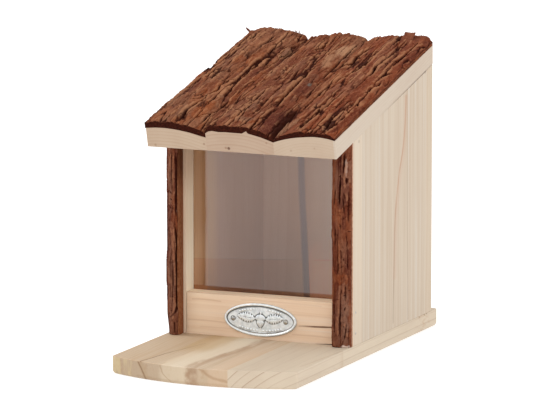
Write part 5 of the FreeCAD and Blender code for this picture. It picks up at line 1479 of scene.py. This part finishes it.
# ------------------------------------------------------------------ the cast oval plate
def plate_relief():
    """A raised rim round a stippled field with an acorn between two oak leaves and a row of beads above and below."""
    cx, cz, ax, az, face = 0.3, 33.5, 35.2, 15.1, -30.0
    nr, na = 120, 460
    rho = np.concatenate([np.linspace(0, 0.86, nr - 34, endpoint=False), np.linspace(0.86, 1.0, 34)])[:, None] * np.ones((1, na))
    th = np.ones((nr, 1)) * (np.arange(na) * 2 * math.pi / na)[None, :]
    x, z = ax * rho * np.cos(th), az * rho * np.sin(th)
    # distance inwards from the outline, nearly true for this ellipse
    inward = (1 - rho) / np.maximum(np.sqrt((np.cos(th) / ax) ** 2 + (np.sin(th) / az) ** 2), 1e-9)
    h = 1.02 + 0.05 * fbm(x / 1.1, z / 1.1, 5, 3) + 0.035 * fbm(x / 6, z / 6, 6, 2)
    bead = np.sqrt(np.maximum(1 - ((inward - 1.25) / 1.25) ** 2, 0))
    h = np.where(inward < 2.5, 0.85 + 1.05 * bead, h)
    h = h - 0.20 * np.exp(-((inward - 2.75) / 0.30) ** 2)
    h = h + 0.10 * np.exp(-((inward - 3.6) / 0.40) ** 2)
    h = np.where(inward < 0.04, 0.0, h)

    def dome(d, r, top, power=0.5):
        return top * np.maximum(1 - (d / r) ** 2, 0) ** power

    # acorn: nut and cup
    nut = np.hypot(x / 3.5, (z + 2.3) / 4.9)
    nut = np.where(z < -2.3, np.hypot(x / 3.5, 0) + np.maximum(-(z + 2.3) / 4.9, 0) ** 1.6, nut)
    h = np.maximum(h, 1.05 + dome(nut, 1.0, 0.80))
    tip = np.hypot(x / 0.55, (z + 7.6) / 0.9)
    h = np.maximum(h, 1.05 + dome(tip, 1.0, 0.45))
    cup = np.hypot(x / 4.7, (z - 1.9) / 3.1)
    scale = 0.09 * (np.sin(x * 3.1 + z * 3.4) * np.sin(x * 3.1 - z * 3.4))
    h = np.where((cup < 1) & (z > -0.9), np.maximum(h, 1.08 + dome(cup, 1.0, 0.92, 0.42) + scale), h)
    stem = np.abs(x - 0.5 * np.sin((z - 4.6) * 0.9))
    h = np.where((z > 4.6) & (z < 7.8), np.maximum(h, 1.05 + dome(stem, 0.75, 0.55)), h)
    # leaves
    for sign, tilt in ((1, 0.10), (-1, 0.10)):
        lx, lz = sign * x - 5.6, z - 1.0 - tilt * (sign * x - 5.6)
        t = lx / 16.5
        lobes = 0.66 + 0.34 * np.cos(2 * math.pi * (3.6 * t + 0.06 * np.sign(lz))) ** 2
        outline = 4.9 * np.sin(math.pi * sat(t) ** 0.85) ** 0.62 * lobes
        inside = sat((outline - np.abs(lz)) / 0.7) * (t > 0) * (t < 1)
        cross = sat(1 - np.abs(lz) / np.maximum(outline, 0.2))
        body = 0.52 * inside ** 0.7 + 0.16 * cross * (inside > 0)
        vein = np.exp(-(lz / 0.30) ** 2) * 0.24
        slant = np.abs(((lx + 0.75 * np.abs(lz)) / 4.58 + 0.02) % 1.0 - 0.5)
        vein2 = np.exp(-((0.5 - slant) * 4.58 / 0.28) ** 2) * 0.15 * (np.abs(lz) < outline * 0.85)
        h = np.where(inside > 0, np.maximum(h, 1.02 + body - vein - vein2), h)
        stalk = np.abs(z - 1.0 - 0.35 * np.sin((sign * x - 3.4) * 0.8))
        h = np.where((sign * x > 3.6) & (sign * x < 6.4), np.maximum(h, 1.0 + dome(stalk, 0.55, 0.42)), h)
    # beads
    for k in range(-7, 8):
        for up in (1, -1):
            if abs(k) < 2 and up == 1 or abs(k) < 1:
                continue
            a = math.radians((90 if up > 0 else -90) - up * k * 6.1)
            bx, bz = 29.4 * math.cos(a), 9.6 * math.sin(a)
            size = 0.78 if k % 3 else 1.05
            h = np.maximum(h, 1.0 + dome(np.hypot(x - bx, z - bz), size, 0.50))
    # how far each point lies above or below its surroundings, and where the rim is smoother and carries a painted
    # highlight
    gx = np.linspace(-ax, ax, 560)
    gz = np.linspace(-az, az, 240)
    px, pz = x.ravel(), z.ravel()
    ix = np.clip(((px + ax) / (2 * ax) * 559).round().astype(int), 0, 559)
    iz = np.clip(((pz + az) / (2 * az) * 239).round().astype(int), 0, 239)
    total, number = np.zeros((560, 240)), np.zeros((560, 240))
    np.add.at(total, (ix, iz), h.ravel())
    np.add.at(number, (ix, iz), 1.0)
    level = blur(total, 9, 9) / np.maximum(blur(number, 9, 9), 1e-6)
    cav = sat(0.5 + (h - level[ix, iz].reshape(h.shape)) / 0.85)
    cav = np.where(inward < 2.2, 0.55, cav)
    for pin in (-26.6, 24.7):
        cav = np.minimum(cav, 1 - 0.68 * ease(3.0, 2.4, np.hypot(x - pin, z)))
    # painted shade under the upper lip and along the outer edge at the bottom; painted highlight on the lower lip and
    # on the crest of the rim, strongest at the top
    up = np.sin(th) * 0.9 - 0.3 * np.cos(th)
    crest = ease(0.7, 1.1, inward) * ease(2.0, 1.6, inward)
    lower = ease(1.6, 2.0, inward) * ease(3.1, 2.7, inward) * ease(-0.1, -0.5, up)
    rim = sat(crest * (0.35 + 0.65 * ease(-0.5, 0.7, up)) + 1.2 * lower)
    cav = cav - 0.42 * ease(1.9, 2.4, inward) * ease(3.3, 2.9, inward) * ease(-0.2, 0.5, up)
    cav = cav - 0.20 * ease(0.9, 0.3, inward) * ease(0.0, -0.5, up)
    cav = sat(cav)
    verts = np.stack([cx + x, face - h, cz + z], -1)
    hub = np.array([[cx, face - float(h[1].mean()), cz]])
    body = verts[1:].reshape(-1, 3)
    n1 = nr - 1
    back = np.stack([cx + x[-1], np.full(na, face - 0.0), cz + z[-1]], -1)
    allv = np.concatenate([body, hub, back, [[cx, face, cz]]])
    hub_i, back0, low_i = n1 * na, n1 * na + 1, n1 * na + 1 + na
    faces = []
    for i in range(n1 - 1):
        a = i * na + np.arange(na)
        b = i * na + (np.arange(na) + 1) % na
        faces += list(zip(a, a + na, b + na, b))
    for j in range(na):
        jn = (j + 1) % na
        faces.append((hub_i, j, jn))
        faces.append(((n1 - 1) * na + j, back0 + j, back0 + jn, (n1 - 1) * na + jn))
        faces.append((back0 + j, low_i, back0 + jn))
    extra = len(allv) - body.shape[0]
    obj = new_mesh("oval_plate_cast", allv, faces, MATS["zinc"],
                   {"cav": np.r_[cav[1:].ravel(), np.full(extra, 0.5)], "rim": np.r_[rim[1:].ravel(), np.zeros(extra)]})
    right_way(obj)
    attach(obj, "box")
    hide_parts("oval_plate")
    return obj


plate_relief()


# ------------------------------------------------------------------ pane
def pane_material():
    """Clear acrylic. Light that only passes on to the inside goes straight through."""
    g = Graph("acrylic_clear")
    p = g.place()
    smear = g.noise(g.stretch(p, (0.020, 0.020, 0.006)), 1.0, 3.0, 0.5)
    wave = g.noise(g.stretch(p, (0.012, 0.012, 0.006)), 1.0, 2.0, 0.5)
    rough = g.range(smear, 0.3, 0.7, 0.006, 0.025, "LINEAR")
    n = g.bump(wave, 0.12, 0.0004)
    x, z = g.split(p)[0], g.split(p)[2]
    # painted reflection: below a slanting line at about z 86 the pane is tinted darker and redder, most towards -x
    level = g.sub(z, g.add(g.mul(x, 0.0595), 85.7))
    lower_reflection_zone = g.range(level, 0.6, -0.6)
    low = g.mix(g.range(x, 0, 45), (0.97, 0.80, 0.72, 1), (1.0, 0.91, 0.85, 1))
    tint = g.mix(lower_reflection_zone, (1.0, 0.91, 0.88, 1), low)
    # painted shade: the foot of the pane, over the front board, tinted dark brown
    foot = g.range(g.sub(z, g.mul(g.add(x, 73), 0.9 / 146.0)), 58.0, 56.8)
    tint = g.mix(g.mul(foot, 0.9), tint, g.mix(1.0, tint, (0.83, 0.58, 0.43, 1), "MULTIPLY"))
    # painted reflection: a dark line where the two tints meet
    edge = g.mul(g.range(g.math("ABSOLUTE", level), 0.9, 0.2), g.range(g.noise(g.stretch(p, (0.06, 0.06, 0.06)), 1.0, 2.0), 0.35, 0.62))
    tint = g.mix(g.mul(edge, 0.20), tint, (0.62, 0.55, 0.52, 1))
    b = g.principled(tint, rough, n, Transmission_Weight=1.0, IOR=1.52)
    clear = g.node("ShaderNodeBsdfTransparent")
    clear.inputs["Color"].default_value = (1.0, 0.865, 0.80, 1)
    path = g.node("ShaderNodeLightPath")
    both = g.node("ShaderNodeMixShader")
    g.nt.links.new(path.outputs["Is Shadow Ray"], both.inputs[0])
    g.nt.links.new(b.outputs[0], both.inputs[1])
    g.nt.links.new(clear.outputs[0], both.inputs[2])
    g.nt.links.new(both.outputs[0], g.out.inputs["Surface"])
    return g.mat


MATS["pane"] = pane_material()

CAD_MATS = {
    "base_stave_left": "base_left", "base_stave_right": "base_right", "side_panel_left": "panel_left",
    "side_panel_right": "panel_right", "back_panel": "back", "front_board": "front_board", "window_pane": "pane",
    "plate_pins": "pin", "lid_slab_left": "lid_left", "lid_slab_middle": "lid_middle",
    "lid_slab_right": "lid_right", "hinge_lid_leaf_left": "steel", "hinge_lid_leaf_right": "steel",
    "hinge_body_leaf_left": "steel", "hinge_body_leaf_right": "steel", "hinge_pin_left": "steel", "hinge_pin_right": "steel",
    "base_screws": "steel", "back_screws": "steel", "front_board_nails": "steel", "hinge_lid_screws": "steel",
    "hinge_body_screws": "steel",
}
for node, key in CAD_MATS.items():
    o = NODES[node]
    if not o.material_slots:
        o.data.materials.append(MATS[key])
    for sl in o.material_slots:
        sl.material = MATS[key]


# ------------------------------------------------------------------ floor, light, camera
def floor_material():
    """A pale lit sweep."""
    g = Graph("floor_white")
    p = g.place()
    a = g.noise(g.stretch(p, (0.0015, 0.0015, 0.0015)), 1.0, 3.0)
    b = g.noise(g.stretch(p, (0.3, 0.3, 0.3)), 1.0, 3.0)
    col = g.mix(g.mul(a, 0.10), (0.62, 0.62, 0.62, 1), (0.59, 0.59, 0.59, 1))
    n = g.bump(b, 0.05, 0.0002)
    g.principled(col, 0.8, n, Specular_IOR_Level=0.05, Emission_Color=(1, 1, 1, 1), Emission_Strength=0.56)
    return g.mat


bpy.ops.mesh.primitive_plane_add(size=40, location=(0, 0, 0))
floor = bpy.context.active_object
floor.name = "floor"
floor.data.materials.append(floor_material())

world = bpy.data.worlds.new("studio")
SCENE.world = world
world.use_nodes = True
bg = world.node_tree.nodes.get("Background") or world.node_tree.nodes.new("ShaderNodeBackground")
bg.inputs["Color"].default_value = (1.0, 1.0, 1.0, 1.0)
bg.inputs["Strength"].default_value = 1.0


def sun(name, towards, strength, angle, colour=(1, 1, 1)):
    """A broad, soft light from a direction; it lights the whole floor alike."""
    data = bpy.data.lights.new(name, "SUN")
    data.energy = strength
    data.angle = math.radians(angle)
    data.color = colour
    obj = bpy.data.objects.new(name, data)
    SCENE.collection.objects.link(obj)
    obj.rotation_euler = (-Vector(towards)).to_track_quat("-Z", "Y").to_euler()
    return obj


sun("key_left", (-1.0, -0.15, 1.0), 1.10, 26)
sun("fill_right", (1.0, -0.35, 0.45), 0.35, 40)

TARGET = Vector((-0.003042, 0.009, 0.130487))
AZ, EL, DIST = math.radians(23.79), math.radians(9.589), 4.532009
back_dir = Vector((math.sin(AZ) * math.cos(EL), -math.cos(AZ) * math.cos(EL), math.sin(EL)))
cam_data = bpy.data.cameras.new("camera")
cam_data.lens = 330.478
cam_data.sensor_width = 36.0
cam_data.clip_start, cam_data.clip_end = 0.1, 80.0
camera = bpy.data.objects.new("camera", cam_data)
SCENE.collection.objects.link(camera)
camera.location = TARGET + back_dir * DIST
camera.rotation_mode = "QUATERNION"
camera.rotation_quaternion = (-back_dir).to_track_quat("-Z", "Y")
SCENE.camera = camera

SCENE.view_settings.view_transform = "Standard"
SCENE.view_settings.look = "None"
SCENE.view_settings.exposure = 0.0
SCENE.view_settings.gamma = 1.0
SCENE.cycles.use_denoising = True
SCENE.cycles.max_bounces = 10
SCENE.cycles.transparent_max_bounces = 12
